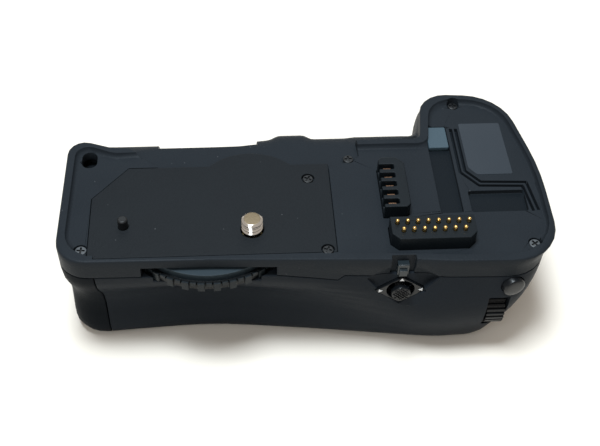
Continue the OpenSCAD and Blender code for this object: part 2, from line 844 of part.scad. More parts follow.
// Stepped bore of a button, open to the bay behind it
module button_bore(r) {
    rod_z(r + 0.15, -button_seat - over, 20);
    rod_z(r + flange_w + 0.15, -14, -button_seat);
}
module dial_cuts() {
    at_rear_dial() {
        translate([0, -dial_r, dial_r - 2.4])
            rod_x(thumb_scoop_r, -dial_slot_w / 2, dial_slot_w / 2);
        rod_x(dial_r + dial_gap, -dial_slot_w / 2, dial_slot_w / 2);
        rod_x(dial_shaft_r + fit, -dial_slot_w / 2 - rib_t - over, dial_slot_w / 2 + 1.7);
    }
    at_front_dial() {
        rod_x(dial_r + dial_gap, -dial_slot_w / 2, dial_slot_w / 2);
        rod_x(dial_shaft_r + fit, -dial_slot_w / 2 - 2.2, dial_slot_w / 2 + rib_t + over);
    }
}
module selector_cuts() {
    at_selector() {
        translate([0, 0, dish_r - 0.4])
            sphere(r = dish_r, $fn = 96);
        translate([0, 0, -bezel_t])
            linear_extrude(20)
                diamond(bezel_w + 2 * plate_gap, bezel_h + 2 * plate_gap);
        translate([0, 0, base_z])
            linear_extrude(-base_z - bezel_t - bezel_web)
                square([13.6, 9.2], center = true);
        rod_z(well_r, base_z, 0);
    }
}
// Two troughs beside the bezel's upper edges, so that the thumb reaches the cap
scoop_r = 5.5;
scoop_d = 1.2;
scoop_l = 8;
module selector_scoops() {
    slope = atan2(bezel_h, bezel_w);
    at_selector()
        for (side = [-1, 1])
            translate([side * bezel_w / 4, bezel_h / 4, scoop_r - scoop_d])
                rotate([0, 0, -side * slope])
                    translate([-scoop_l / 2, 3, 0])
                        rod_x(scoop_r, 0, scoop_l);
}
module diamond(w, h) {
    polygon([[w / 2, 0], [0, h / 2], [-w / 2, 0], [0, -h / 2]]);
}
module tripod_bore() {
    translate([0, tripod_y, -body_h])
        rod_z(tripod_r + bush_wall + fit, -over, tripod_l);
}
// Slot in the front wall for the tongue and its swing
module latch_slot() {
    reach = chamber_front - latch_y;
    swing = sqrt(tongue_l * tongue_l + tongue_w * tongue_w / 4 - reach * reach);
    at_latch()
        box(
            [tray_x - tongue_t - 2 * free - 0.4, 0, -swing - free],
            [tray_x + 0.2, tongue_l + 3 * free, tongue_w / 2 + free]
        );
}
// Shallow seat of the rubber grip on the belly
module rubber_cut(gap) {
    difference() {
        grip_space(gap);
        housing(grip_depths, rubber_t);
    }
}
module grip_space(gap) {
    box([grip_x0 + gap, front_y - 2, -body_h + base_round + 3 + gap], [grip_x1 - gap, 120, -9.6 - gap]);
}

// Rubber pad over the finger belly
module front_grip() {
    color([0.05, 0.05, 0.055])
        difference() {
            intersection() {
                housing(grip_depths);
                grip_space(plate_gap);
            }
            housing(grip_depths, rubber_t);
        }
}

// Flat plate that the camera's base lies on
module mount_plate() {
    color([0.08, 0.085, 0.095])
        difference() {
            translate([0, 0, -plate_t])
                linear_extrude(plate_t)
                    plate_plan(0);
            rod_z(screw_r + free, -deep, over);
            translate([locator_x, locator_y, 0])
                rod_z(locator_r + fit, -deep, over);
            for (p = black_screw_at)
                translate([p.x, p.y, 0])
                    rod_z(head_bore_r, -deep, over);
        }
}

// Mounting screw: threaded end over the deck, shank with the pinion's seat, lower journal
module mounting_screw() {
    color([0.75, 0.72, 0.66]) {
        rod_z(screw_r, 0, screw_up - 0.7);
        rod_z(screw_r - 0.5, -wheel_top - 0.2, 0);
        translate([0, 0, screw_up - 0.7])
            cylinder(r1 = screw_r, r2 = screw_r - 0.7, h = 0.7);
        rod_z(journal_r, -roof_d + free, -wheel_top);
    }
}
module screw_pinion() {
    color([0.65, 0.6, 0.45])
        difference() {
            translate([0, 0, -wheel_top - gear_t])
                linear_extrude(gear_t - cap_t - free)
                    polygon(gear_plan(
                        pinion_teeth, pinion_pitch_r - 1.2 * gear_module,
                        pinion_pitch_r + 0.85 * gear_module, -tooth_slack
                    ));
            rod_z(journal_r + fit, -deep, over);
        }
}

// Attachment wheel: a ring with grip blocks outside, a cap over its inner gear, a bearing land below
module attachment_wheel() {
    color([0.09, 0.09, 0.1])
        at_wheel()
            difference() {
                union() {
                    translate([0, 0, -wheel_bottom])
                        linear_extrude(wheel_bottom - rim_top)
                            grip_plan(wheel_r - 0.9);
                    translate([0, 0, -rim_top - rim_half])
                        linear_extrude(rim_half)
                            grip_plan(wheel_r - 0.25);
                    rod_z(groove_r - groove_w, -wheel_bottom, -wheel_top);
                }
                translate([0, 0, -rim_top - 1])
                    difference() {
                        rod_z(groove_r, 0, deep);
                        rod_z(groove_r - groove_w, -over, deep + over);
                    }
                translate([0, 0, -wheel_top - gear_t])
                    linear_extrude(gear_t - cap_t)
                        polygon(gear_plan(
                            ring_teeth, ring_pitch_r - 0.7 * gear_module, ring_root_r, tooth_slack
                        ));
                rod_z(land_r, -wheel_bottom - over, -wheel_top - gear_t + 0.01);
                rod_z(cap_bore_r, -wheel_top - gear_t, over);
            }
}
// Long blocks with short ones between them, whose faces are at radius between
module grip_plan(between) {
    step = 360 / grip_teeth;
    valley = wheel_r - 0.9;
    polygon([for (
        i = [0:grip_teeth - 1],
        k = [[0, valley], [0.03, wheel_r], [0.45, wheel_r], [0.48, valley], [0.53, valley], [0.56, between],
            [0.92, between], [0.95, valley]]
    )
        let (a = (i + k[0]) * step)
        k[1] * [cos(a), sin(a)]]);
}
// Fixed plate with the round land that the wheel turns on and the screw's lower bearing
module wheel_carrier() {
    color([0.55, 0.56, 0.58])
        difference() {
            union() {
                at_wheel()
                    rod_z(land_r - run_gap, -carrier_top, -wheel_top - gear_t - free);
                translate([0, 0, -roof_d])
                    linear_extrude(carrier_flange_t)
                        flange_plan(0);
            }
            rod_z(journal_r + run_gap, -deep, over);
            for (p = carrier_screw_at)
                translate([p.x, p.y, 0])
                    rod_z(shank_r + fit, -deep, over);
        }
}
// Flange of the carrier, cut straight inside the rear wall
module flange_plan(gap) {
    difference() {
        translate([wheel_x, wheel_y])
            circle(land_r + 1.6 + gap);
        translate([wheel_x - 50, -rear_left - 50 + 1.8 - gap])
            square([100, 50]);
    }
}
// Locating pin, held by its head under the plate
module locating_pin() {
    color([0.1, 0.1, 0.11])
        translate([locator_x, locator_y, 0]) {
            rod_z(locator_r, 0, locator_up - 0.4);
            rod_z(locator_neck_r, -plate_t, 0);
            rod_z(locator_head_r, -plate_t - locator_head_t, -plate_t);
            translate([0, 0, locator_up - 0.4])
                cylinder(r1 = locator_r, r2 = locator_r - 0.4, h = 0.4);
        }
}

// Power connector: block with slots open to the left
module power_connector() {
    color([0.05, 0.05, 0.055])
        difference() {
            translate([0, 0, board_top])
                linear_extrude(connector_up - board_top)
                    power_plan(0);
            for (p = blade_at) {
                box([power_x - over, p.y - blade_slot_w / 2, blade_floor],
                    [power_x + blade_slot_l, p.y + blade_slot_w / 2, connector_up + over]);
                translate([p.x, p.y, board_top - over])
                    linear_extrude(blade_floor - board_top + 2 * over)
                        square([blade_l + 2 * fit, blade_w + 2 * fit], center = true);
            }
        }
}
module power_contacts() {
    color([0.72, 0.5, 0.3])
        for (p = blade_at)
            translate([p.x, p.y, board_top])
                linear_extrude(connector_up - 1.2 - board_top)
                    square([blade_l, blade_w], center = true);
}
module signal_connector() {
    color([0.05, 0.05, 0.055])
        difference() {
            translate([0, 0, board_top])
                linear_extrude(connector_up - board_top)
                    signal_plan(0);
            for (p = pin_at)
                translate([p.x, p.y, 0])
                    rod_z(pin_r + run_gap, board_top - over, connector_up + over);
        }
}
// Sprung pins, pressed down together by the camera
module signal_pins() {
    color([0.85, 0.65, 0.25])
        for (p = pin_at)
            translate([p.x, p.y, 0]) {
                rod_z(pin_r, board_top + 1.1, pin_up - pin_r);
                translate([0, 0, pin_up - pin_r])
                    sphere(r = pin_r);
            }
}
// Pale wedge at the front end of the long slot
module slot_insert() {
    color([0.5, 0.51, 0.53])
        translate([0, 0, -slot_d])
            linear_extrude(slot_d + 0.1)
                round_rect(slot_x0 + 0.2, slot_y1 - insert_l, slot_x1 - 0.2, slot_y1 - 0.2, 0.6);
}

// Selector: diamond bezel, carried base, gimbal and stem with a press cap
module selector_bezel() {
    color([0.06, 0.06, 0.065])
        at_selector()
            difference() {
                translate([0, 0, -bezel_t])
                    linear_extrude(bezel_t + 0.5)
                        diamond(bezel_w, bezel_h);
                rod_z(well_r, -deep, deep);
                translate([0, 0, -0.1])
                    cylinder(r1 = well_r, r2 = well_r + 0.2, h = 0.7);
            }
}
module selector_base() {
    color([0.2, 0.2, 0.21])
        at_selector()
            difference() {
                union() {
                    box([-6.7, -4.5, base_z], [6.7, 4.5, base_z + 1]);
                    for (x = [-6.7, gimbal_r + free])
                        box([x, -2.4, base_z], [x + 6.7 - gimbal_r - free, 2.4, pivot_z + 2]);
                }
                translate([0, 0, pivot_z])
                    rod_x(trunnion_r + run_gap, -deep, deep);
            }
}
module selector_gimbal() {
    color([0.7, 0.7, 0.72])
        at_selector()
            translate([0, 0, pivot_z])
                difference() {
                    union() {
                        rod_z(gimbal_r, -gimbal_t / 2, gimbal_t / 2);
                        rod_x(trunnion_r, -6.5, 6.5);
                    }
                    rod_z(gimbal_r - 1.2, -5, 5);
                    rotate([0, 0, 90])
                        rod_x(trunnion_r + run_gap, -deep, deep);
                }
}
module selector_stem() {
    color([0.15, 0.15, 0.16])
        at_selector() {
            translate([0, 0, pivot_z]) {
                rod_z(stem_r, -1, -pivot_z);
                rotate([0, 0, 90])
                    rod_x(trunnion_r, -gimbal_r + 0.1, gimbal_r - 0.1);
            }
            rod_z(spigot_r, -0.1, cap_low + 0.6);
        }
}
// Knurled cap with its pits left to the finish, sliding on the stem's spigot
module selector_cap() {
    color([0.08, 0.08, 0.085])
        at_selector()
            difference() {
                union() {
                    rod_z(cap_r, cap_low, cap_front - cap_edge);
                    translate([0, 0, cap_front - cap_edge])
                        cylinder(r1 = cap_r, r2 = cap_r - cap_edge, h = cap_edge);
                }
                rod_z(spigot_r + run_gap, 0, cap_front - 0.7);
                for (x = [-1, 1], y = [-1, 0, 1])
                    translate([x * 0.9, y * 1.25, cap_front - 0.4])
                        rod_z(0.38, 0, over);
            }
}
module selector_tab() {
    color([0.1, 0.1, 0.11])
        translate([tab_x, 2.2 - rear_right, 0]) {
            box([-tab_w / 2, -2, -seam_d + 0.4], [tab_w / 2, 0, -0.8]);
            box([-tab_w / 2 + 0.5, -2.7, -seam_d + 0.4], [tab_w / 2 - 0.5, -1, -2.6]);
        }
}

// Round focus button, held by its flange under the bore's step
module focus_button() {
    color([0.07, 0.07, 0.075])
        at_focus() {
            rod_z(focus_r, -button_seat - free, 0.5);
            translate([0, 0, 0.5])
                cylinder(r1 = focus_r, r2 = focus_r - 0.6, h = 0.5);
            rod_z(focus_r + flange_w - 0.15, -button_seat - free - flange_t, -button_seat - free);
        }
}
module shutter_button() {
    color([0.07, 0.07, 0.075])
        at_shutter() {
            rod_z(shutter_r, -button_seat - free, collar_t + 0.6);
            translate([0, 0, collar_t + 0.6])
                cylinder(r1 = shutter_r, r2 = shutter_r - 0.9, h = 0.6);
            rod_z(shutter_r + flange_w - 0.15, -button_seat - free - flange_t, -button_seat - free);
        }
}
// Lock lever round the shutter button
module lock_collar() {
    color([0.06, 0.06, 0.065])
        at_shutter()
            difference() {
                union() {
                    rod_z(collar_r, free, collar_t);
                    rotate([0, 0, 200])
                        box([collar_r - 2, -1.7, free], [collar_r + 2.8, 1.7, collar_t + 0.5]);
                }
                rod_z(shutter_r + hub_wall + 0.2 + run_gap, -over, 10);
            }
}
// Switch and its back plate behind a button of radius r that travels by travel
function plunger_top(travel) = -button_seat - free - flange_t - travel - 0.1;
module switch_body(travel) {
    top = plunger_top(travel);
    rod_z(1.5, top - plunger_h - 0.2, top);
    box([-switch_w / 2, -switch_w / 2, top - plunger_h - switch_h], [switch_w / 2, switch_w / 2, top - plunger_h]);
}
module switch_plate(r, travel) {
    top = plunger_top(travel) - plunger_h - switch_h;
    rod_z(r + flange_w + 0.15 - fit, top - plate_back_t, top);
}
module switches() {
    color([0.75, 0.75, 0.72]) {
        at_focus()
            switch_body(focus_travel);
        at_shutter()
            switch_body(shutter_travel);
    }
}
module switch_plates() {
    color([0.1, 0.3, 0.18]) {
        at_focus()
            switch_plate(focus_r, focus_travel);
        at_shutter()
            switch_plate(shutter_r, shutter_travel);
    }
}

// Ribbed command dial on a plain shaft along X
module dial() {
    step = 360 / dial_ribs;
    difference() {
        translate([-dial_w / 2, 0, 0])
            rotate([90, 0, 90])
                linear_extrude(dial_w)
                    polygon([for (i = [0:dial_ribs - 1], k = [[0, 0.6], [0.15, 0], [0.6, 0], [0.75, 0.6]])
                        let (a = (i + k[0]) * step)
                        (dial_r - k[1]) * [cos(a), sin(a)]]);
        rod_x(dial_shaft_r + run_gap, -dial_w, dial_w);
    }
}
module rear_dial() {
    color([0.06, 0.06, 0.065])
        at_rear_dial()
            dial();
}
module front_dial() {
    color([0.06, 0.06, 0.065])
        at_front_dial()
            dial();
}
module rear_dial_shaft() {
    color([0.7, 0.7, 0.72])
        at_rear_dial()
            rod_x(dial_shaft_r, -dial_slot_w / 2 - rib_t, dial_slot_w / 2 + 1.6);
}
module front_dial_shaft() {
    color([0.7, 0.7, 0.72])
        at_front_dial()
            rod_x(dial_shaft_r, -dial_slot_w / 2 - 2.1, dial_slot_w / 2 + rib_t);
}

// Tray for two layers of two rows of cells
module battery_tray() {
    y0 = chamber_y - tray_w / 2;
    z0 = chamber_z - tray_h / 2;
    color([0.1, 0.1, 0.11]) {
        box([tray_x, y0, chamber_z - tray_web / 2], [tray_x + tray_l, y0 + tray_w, chamber_z + tray_web / 2]);
        for (i = [0:2])
            translate([tray_x, y0 + i * (bay_w + tray_wall), z0])
                cube([tray_l, tray_wall, tray_h]);
        for (x = [tray_x, tray_x + tray_l - tray_end])
            translate([x, y0, z0])
                cube([tray_end, tray_w, tray_h]);
    }
}
contact_t = 0.4;
contact_l = 9;
module bay_centres() {
    for (y = [-1, 1], z = [-1, 1])
        translate([0, chamber_y + y * (bay_w + tray_wall) / 2, chamber_z + z * (bay_h + tray_web) / 2])
            children();
}
// Contact plates inside both ends of the cell bays, each with a dimple
module tray_contacts() {
    color([0.78, 0.77, 0.72])
        bay_centres() {
            box([tray_x + tray_end, -contact_l / 2, -contact_l / 2],
                [tray_x + tray_end + contact_t, contact_l / 2, contact_l / 2]);
            rod_x(1.6, tray_x + tray_end, tray_x + tray_end + 3 * contact_t);
            box([tray_x + tray_l - tray_end - contact_t, -contact_l / 2, -contact_l / 2],
                [tray_x + tray_l - tray_end, contact_l / 2, contact_l / 2]);
            rod_x(1.6, tray_x + tray_l - tray_end - 3 * contact_t, tray_x + tray_l - tray_end);
        }
}
module chamber_contacts() {
    color([0.78, 0.77, 0.72])
        for (y = [-1, 1])
            translate([0, chamber_y + y * bay_w / 2, chamber_z])
                box([tray_x + tray_l + slide_gap, -3, -6], [chamber_end, 3, 6]);
}
// End cover with its neck in the chamber and the seat of the latch
module battery_cover() {
    neck_y0 = chamber_rear + slide_gap;
    neck_y1 = chamber_front - slide_gap;
    color([0.06, 0.063, 0.07])
        difference() {
            union() {
                intersection() {
                    housing(lower_depths);
                    cover_space(0);
                }
                box([cover_x - 2, neck_y0, slide_gap - chamber_top - chamber_h], [tray_x, neck_y1, -chamber_top - slide_gap]);
            }
            at_latch() {
                rod_x(latch_r + free, -body_left - 10, latch_floor);
                rod_x(2 + run_gap, -body_left - 10, tray_x + over);
                rod_x(tongue_l + free, tray_x - tongue_t - 2 * free, tray_x + over);
            }
        }
}
latch_floor = 4.2 - body_left;
// Turning latch: finger knob in the cover, shaft and tongue, shown unlocked
module cover_latch() {
    color([0.09, 0.09, 0.1])
        at_latch() {
            rod_x(latch_r, latch_floor - 2.4, latch_floor - free);
            box([latch_floor - 3.4, -1.6, -latch_r + 0.8], [latch_floor - 2, 1.6, latch_r - 0.8]);
            rod_x(2, latch_floor - 1, tray_x - free);
            box([tray_x - tongue_t - free, -tongue_w / 2, -tongue_l], [tray_x - free, tongue_w / 2, tongue_w / 2]);
        }
}

module main_board() {
    color([0.08, 0.3, 0.16])
        difference() {
            box([board_x0, board_y0, board_top - board_t], [board_x1, board_y1, board_top]);
            for (p = board_screw_at)
                translate([p.x, p.y, 0])
                    rod_z(shank_r + fit, -deep, 0);
        }
}
// Threaded bush for a tripod in the base
module tripod_socket() {
    color([0.8, 0.78, 0.7])
        translate([0, tripod_y, -body_h])
            difference() {
                rod_z(tripod_r + bush_wall, 0, tripod_l);
                rod_z(tripod_r, -over, tripod_l - 1.4);
            }
}

// Screw with a flat head whose under side is at z = 0
module small_screw(l) {
    rod_z(head_r, 0, head_t);
    rod_z(shank_r, -l, 0.2);
}
module deck_screws() {
    color([0.08, 0.08, 0.085])
        for (p = black_screw_at)
            translate([p.x, p.y, -1.1])
                small_screw(shank_l - 1.4);
}
module end_screws() {
    color([0.8, 0.8, 0.82])
        for (p = bright_screw_at)
            translate([p.x, p.y, -1.1])
                small_screw(shank_l - 1.4);
}
module base_screws() {
    color([0.1, 0.1, 0.11])
        for (p = base_screw_at)
            translate([p.x, p.y, 1.1 - body_h])
                mirror([0, 0, 1])
                    small_screw(shank_l);
}
module inner_screws() {
    color([0.6, 0.6, 0.62]) {
        for (p = carrier_screw_at)
            translate([p.x, p.y, -wheel_top - gear_t - free])
                small_screw(carrier_flange_t + 3);
        for (p = board_screw_at)
            translate([p.x, p.y, board_top - board_t])
                mirror([0, 0, 1])
                    small_screw(board_t + 0.8);
    }
}

upper_shell();
lower_shell();
mount_plate();
front_grip();
mounting_screw();
screw_pinion();
attachment_wheel();
wheel_carrier();
locating_pin();
power_connector();
power_contacts();
signal_connector();
signal_pins();
slot_insert();
selector_bezel();
selector_base();
selector_gimbal();
selector_stem();
selector_cap();
selector_tab();
focus_button();
rear_dial();
rear_dial_shaft();
front_dial();
front_dial_shaft();
shutter_button();
lock_collar();
switches();
switch_plates();
battery_tray();
battery_cover();
cover_latch();
tray_contacts();
chamber_contacts();
main_board();
tripod_socket();
deck_screws();
end_screws();
base_screws();
inner_screws();
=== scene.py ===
import bpy
from math import cos, sin, pi, radians
from mathutils import Matrix, Vector
from mathutils.bvhtree import BVHTree
from mathutils.kdtree import KDTree


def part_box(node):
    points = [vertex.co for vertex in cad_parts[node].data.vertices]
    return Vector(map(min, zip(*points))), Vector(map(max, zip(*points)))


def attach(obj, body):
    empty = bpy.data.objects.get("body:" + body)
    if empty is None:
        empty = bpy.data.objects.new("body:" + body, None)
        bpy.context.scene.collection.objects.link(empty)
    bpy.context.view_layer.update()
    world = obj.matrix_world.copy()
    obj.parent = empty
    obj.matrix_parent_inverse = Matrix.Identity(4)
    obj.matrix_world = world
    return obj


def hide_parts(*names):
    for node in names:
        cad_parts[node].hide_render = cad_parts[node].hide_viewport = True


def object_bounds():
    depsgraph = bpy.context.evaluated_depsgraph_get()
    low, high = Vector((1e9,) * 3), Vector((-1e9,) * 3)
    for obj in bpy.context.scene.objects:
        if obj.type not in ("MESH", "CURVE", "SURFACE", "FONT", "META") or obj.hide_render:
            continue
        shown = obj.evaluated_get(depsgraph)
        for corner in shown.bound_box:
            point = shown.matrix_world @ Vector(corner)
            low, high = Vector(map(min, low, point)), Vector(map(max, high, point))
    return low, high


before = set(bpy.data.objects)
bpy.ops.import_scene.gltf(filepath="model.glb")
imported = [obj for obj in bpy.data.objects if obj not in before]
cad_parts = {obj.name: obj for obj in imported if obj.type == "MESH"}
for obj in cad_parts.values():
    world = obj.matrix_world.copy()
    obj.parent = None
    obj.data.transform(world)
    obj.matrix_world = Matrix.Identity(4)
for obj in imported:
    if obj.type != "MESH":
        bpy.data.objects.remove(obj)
cad_low, cad_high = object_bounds()

# Lower shell: the main moulding with the battery chamber, the waist for the palm and the finger belly.
# Black ABS out of a spark-eroded mould, so its skin has a fine even grain and soft parting edges.
# Everything else is fixed into it or slides in it.
grain = bpy.data.node_groups.new("moulded_grain", "ShaderNodeTree")
grain.interface.new_socket("Scale", in_out="INPUT", socket_type="NodeSocketFloat")
for socket in ("Tone", "Rub", "Dust", "Height"):
    grain.interface.new_socket(socket, in_out="OUTPUT", socket_type="NodeSocketFloat")
fine_share, broad_share = 0.55, 0.45
inside, outside = grain.nodes.new("NodeGroupInput"), grain.nodes.new("NodeGroupOutput")
place = grain.nodes.new("ShaderNodeTexCoord")
fine = grain.nodes.new("ShaderNodeTexNoise")
fine.inputs["Detail"].default_value = 3.0
fine.inputs["Roughness"].default_value = 0.6
pits = grain.nodes.new("ShaderNodeTexVoronoi")
broad = grain.nodes.new("ShaderNodeTexNoise")
broad.inputs["Scale"].default_value = 55.0
broad.inputs["Detail"].default_value = 4.0
motes = grain.nodes.new("ShaderNodeTexVoronoi")
motes.inputs["Scale"].default_value = 210.0
mote_size = grain.nodes.new("ShaderNodeMapRange")
mote_size.inputs["From Min"].default_value = 0.045
mote_size.inputs["From Max"].default_value = 0.02
tone = grain.nodes.new("ShaderNodeMath")
tone.operation = "MULTIPLY_ADD"
tone.inputs[1].default_value = fine_share
tone_broad = grain.nodes.new("ShaderNodeMath")
tone_broad.operation = "MULTIPLY"
tone_broad.inputs[1].default_value = broad_share
height = grain.nodes.new("ShaderNodeMath")
height.operation = "ADD"
for texture in (fine, pits, broad, motes):
    grain.links.new(place.outputs["Object"], texture.inputs["Vector"])
grain.links.new(inside.outputs["Scale"], fine.inputs["Scale"])
grain.links.new(inside.outputs["Scale"], pits.inputs["Scale"])
grain.links.new(broad.outputs["Fac"], tone_broad.inputs[0])
grain.links.new(fine.outputs["Fac"], tone.inputs[0])
grain.links.new(tone_broad.outputs[0], tone.inputs[2])
grain.links.new(fine.outputs["Fac"], height.inputs[0])
grain.links.new(pits.outputs["Distance"], height.inputs[1])
grain.links.new(motes.outputs["Distance"], mote_size.inputs["Value"])
grain.links.new(tone.outputs[0], outside.inputs["Tone"])
grain.links.new(broad.outputs["Fac"], outside.inputs["Rub"])
grain.links.new(mote_size.outputs["Result"], outside.inputs["Dust"])
grain.links.new(height.outputs[0], outside.inputs["Height"])


def moulded_finish(name, dark, light, smooth, rough, scale, depth, gloss, dust=0.0, metal=0.0):
    """Plastic, rubber, paint or metal with a grained skin that is smoother where hands rub it."""
    dust_grey = (0.32, 0.33, 0.34, 1.0)
    colour_a, colour_b, colour_out = 6, 7, 2  # the Mix node's sockets for colours
    finish = bpy.data.materials.new(name)
    finish.use_nodes = True
    nodes, links = finish.node_tree.nodes, finish.node_tree.links
    shader = nodes["Principled BSDF"]
    shader.inputs["Specular IOR Level"].default_value = gloss
    shader.inputs["Metallic"].default_value = metal
    skin = nodes.new("ShaderNodeGroup")
    skin.node_tree = bpy.data.node_groups["moulded_grain"]
    skin.inputs["Scale"].default_value = scale
    colour = nodes.new("ShaderNodeMix")
    colour.data_type = "RGBA"
    colour.inputs[colour_a].default_value = (*dark, 1.0)
    colour.inputs[colour_b].default_value = (*light, 1.0)
    links.new(skin.outputs["Tone"], colour.inputs[0])
    last = colour.outputs[colour_out]
    if dust:
        speck = nodes.new("ShaderNodeMath")
        speck.operation = "MULTIPLY"
        speck.inputs[1].default_value = dust
        links.new(skin.outputs["Dust"], speck.inputs[0])
        dusty = nodes.new("ShaderNodeMix")
        dusty.data_type = "RGBA"
        dusty.inputs[colour_b].default_value = dust_grey
        links.new(speck.outputs[0], dusty.inputs[0])
        links.new(last, dusty.inputs[colour_a])
        last = dusty.outputs[colour_out]
    links.new(last, shader.inputs["Base Color"])
    rub = nodes.new("ShaderNodeMapRange")
    rub.inputs["From Min"].default_value = 0.3
    rub.inputs["From Max"].default_value = 0.7
    rub.inputs["To Min"].default_value = smooth
    rub.inputs["To Max"].default_value = rough
    links.new(skin.outputs["Rub"], rub.inputs["Value"])
    links.new(rub.outputs["Result"], shader.inputs["Roughness"])
    bump = nodes.new("ShaderNodeBump")
    bump.inputs["Distance"].default_value = depth
    links.new(skin.outputs["Height"], bump.inputs["Height"])
    links.new(bump.outputs["Normal"], shader.inputs["Normal"])
    return finish


def merged_copy(node, name, edge=0.0, turn=38, flat=0.3):
    """The moulding of a CAD node as one joined mesh, its arrises broken by a small round.

    An arris turns by more than turn degrees. Facets within flat degrees become one face;
    with flat at 0 they stay triangles.
    """
    piece = bpy.data.objects.new(name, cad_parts[node].data.copy())
    piece.data.materials.clear()
    bpy.context.scene.collection.objects.link(piece)
    bpy.ops.object.select_all(action="DESELECT")
    piece.select_set(True)
    bpy.context.view_layer.objects.active = piece
    bpy.ops.object.mode_set(mode="EDIT")
    bpy.ops.mesh.select_all(action="SELECT")
    bpy.ops.mesh.remove_doubles(threshold=0.000002)
    if flat:
        bpy.ops.mesh.dissolve_limited(angle_limit=radians(flat))
    else:
        bpy.ops.mesh.beautify_fill(angle_limit=radians(1))
    bpy.ops.object.mode_set(mode="OBJECT")
    if edge:
        bpy.ops.object.modifier_add(type="BEVEL")
        rounded = piece.modifiers[-1]
        rounded.width = edge
        rounded.segments = 2
        rounded.limit_method = "ANGLE"
        rounded.angle_limit = radians(turn)
        rounded.use_clamp_overlap = False
        rounded.miter_outer = "MITER_ARC"
        bpy.ops.object.modifier_apply(modifier=rounded.name)
    bpy.ops.object.shade_smooth_by_angle(angle=radians(turn))
    bpy.ops.object.modifier_add(type="WEIGHTED_NORMAL")
    piece.modifiers[-1].keep_sharp = True
    bpy.ops.object.modifier_apply(modifier=piece.modifiers[-1].name)
    return piece


def even_shading(piece, reach):
    """Evens the shading of a lofted skin, so that cuts through its facets leave no streaks.

    Samples are strewn evenly over the skin, and each corner takes the mean of those within reach
    that look its way. Level tops stay flat.
    """
    level, same_way, golden = 0.99, 0.82, 0.618034
    patch = reach * reach / 9
    mesh = piece.data
    mesh.calc_loop_triangles()
    samples = []
    for face in mesh.loop_triangles:
        a, b, c = (mesh.vertices[i].co for i in face.vertices)
        count = max(1, int(face.area / patch))
        for k in range(count):
            s, t = ((k + 0.5) / count) ** 0.5, (k * golden + 0.5) % 1.0
            point = a * (1 - s) + b * (s * (1 - t)) + c * (s * t)
            samples.append((point, face.normal * (face.area / count)))
    tree = KDTree(len(samples))
    for i, (point, weight) in enumerate(samples):
        tree.insert(point, i)
    tree.balance()
    found, evened = {}, []
    for corner, loop in zip(mesh.corner_normals, mesh.loops):
        old = corner.vector
        if old.z > level:
            evened.append(Vector((0.0, 0.0, 1.0)))
            continue
        key = (loop.vertex_index, round(old.x, 2), round(old.y, 2), round(old.z, 2))
        if key not in found:
            total = old * 1e-9
            for point, i, distance in tree.find_range(mesh.vertices[loop.vertex_index].co, reach):
                weight = samples[i][1]
                if weight.dot(old) > same_way * weight.length:
                    total = total + weight * (1 - (distance / reach) ** 2)
            found[key] = total.normalized()
        evened.append(found[key])
    mesh.normals_split_custom_set(evened)
    return piece


def fit_piece(piece, body, node, finish):
    """Gives a piece its finish, and puts it on the CAD body in the place of the node."""
    piece.data.materials.clear()
    piece.data.materials.append(finish)
    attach(piece, body)
    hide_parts(node)


body_plastic = moulded_finish(
    "body_plastic", (0.0103, 0.0131, 0.0168), (0.0198, 0.0238, 0.0294),
    smooth=0.36, rough=0.48, scale=2300.0, depth=0.00003, gloss=0.03)
body_moulding = even_shading(merged_copy("lower_shell", "body_moulding", edge=0.00022), reach=0.0042)
fit_piece(body_moulding, "grip", "lower_shell", body_plastic)

# Tripod bush: a turned brass bush, nickel plated, pressed into the base under the mounting screw.
# Its bore carries the coarse quarter inch thread that a tripod screws into.
# The thread is a ridge wound up the bore.
nickel = bpy.data.materials.new("bright_nickel")
nickel.use_nodes = True
nickel_nodes, nickel_links = nickel.node_tree.nodes, nickel.node_tree.links
nickel_shader = nickel_nodes["Principled BSDF"]
nickel_shader.inputs["Metallic"].default_value = 1.0
nickel_shader.inputs["Base Color"].default_value = (0.62, 0.58, 0.53, 1.0)
nickel_place = nickel_nodes.new("ShaderNodeTexCoord")
nickel_marks = nickel_nodes.new("ShaderNodeTexNoise")
nickel_marks.inputs["Scale"].default_value = 900.0
nickel_marks.inputs["Detail"].default_value = 5.0
nickel_range = nickel_nodes.new("ShaderNodeMapRange")
nickel_range.inputs["To Min"].default_value = 0.12
nickel_range.inputs["To Max"].default_value = 0.34
nickel_links.new(nickel_place.outputs["Object"], nickel_marks.inputs["Vector"])
nickel_links.new(nickel_marks.outputs["Fac"], nickel_range.inputs["Value"])
nickel_links.new(nickel_range.outputs["Result"], nickel_shader.inputs["Roughness"])


def dressed_node(node, name, body, finish, edge=0.0):
    """A CAD node's own form with its arrises broken, finished and put in the node's place."""
    fit_piece(merged_copy(node, name, edge), body, node, finish)


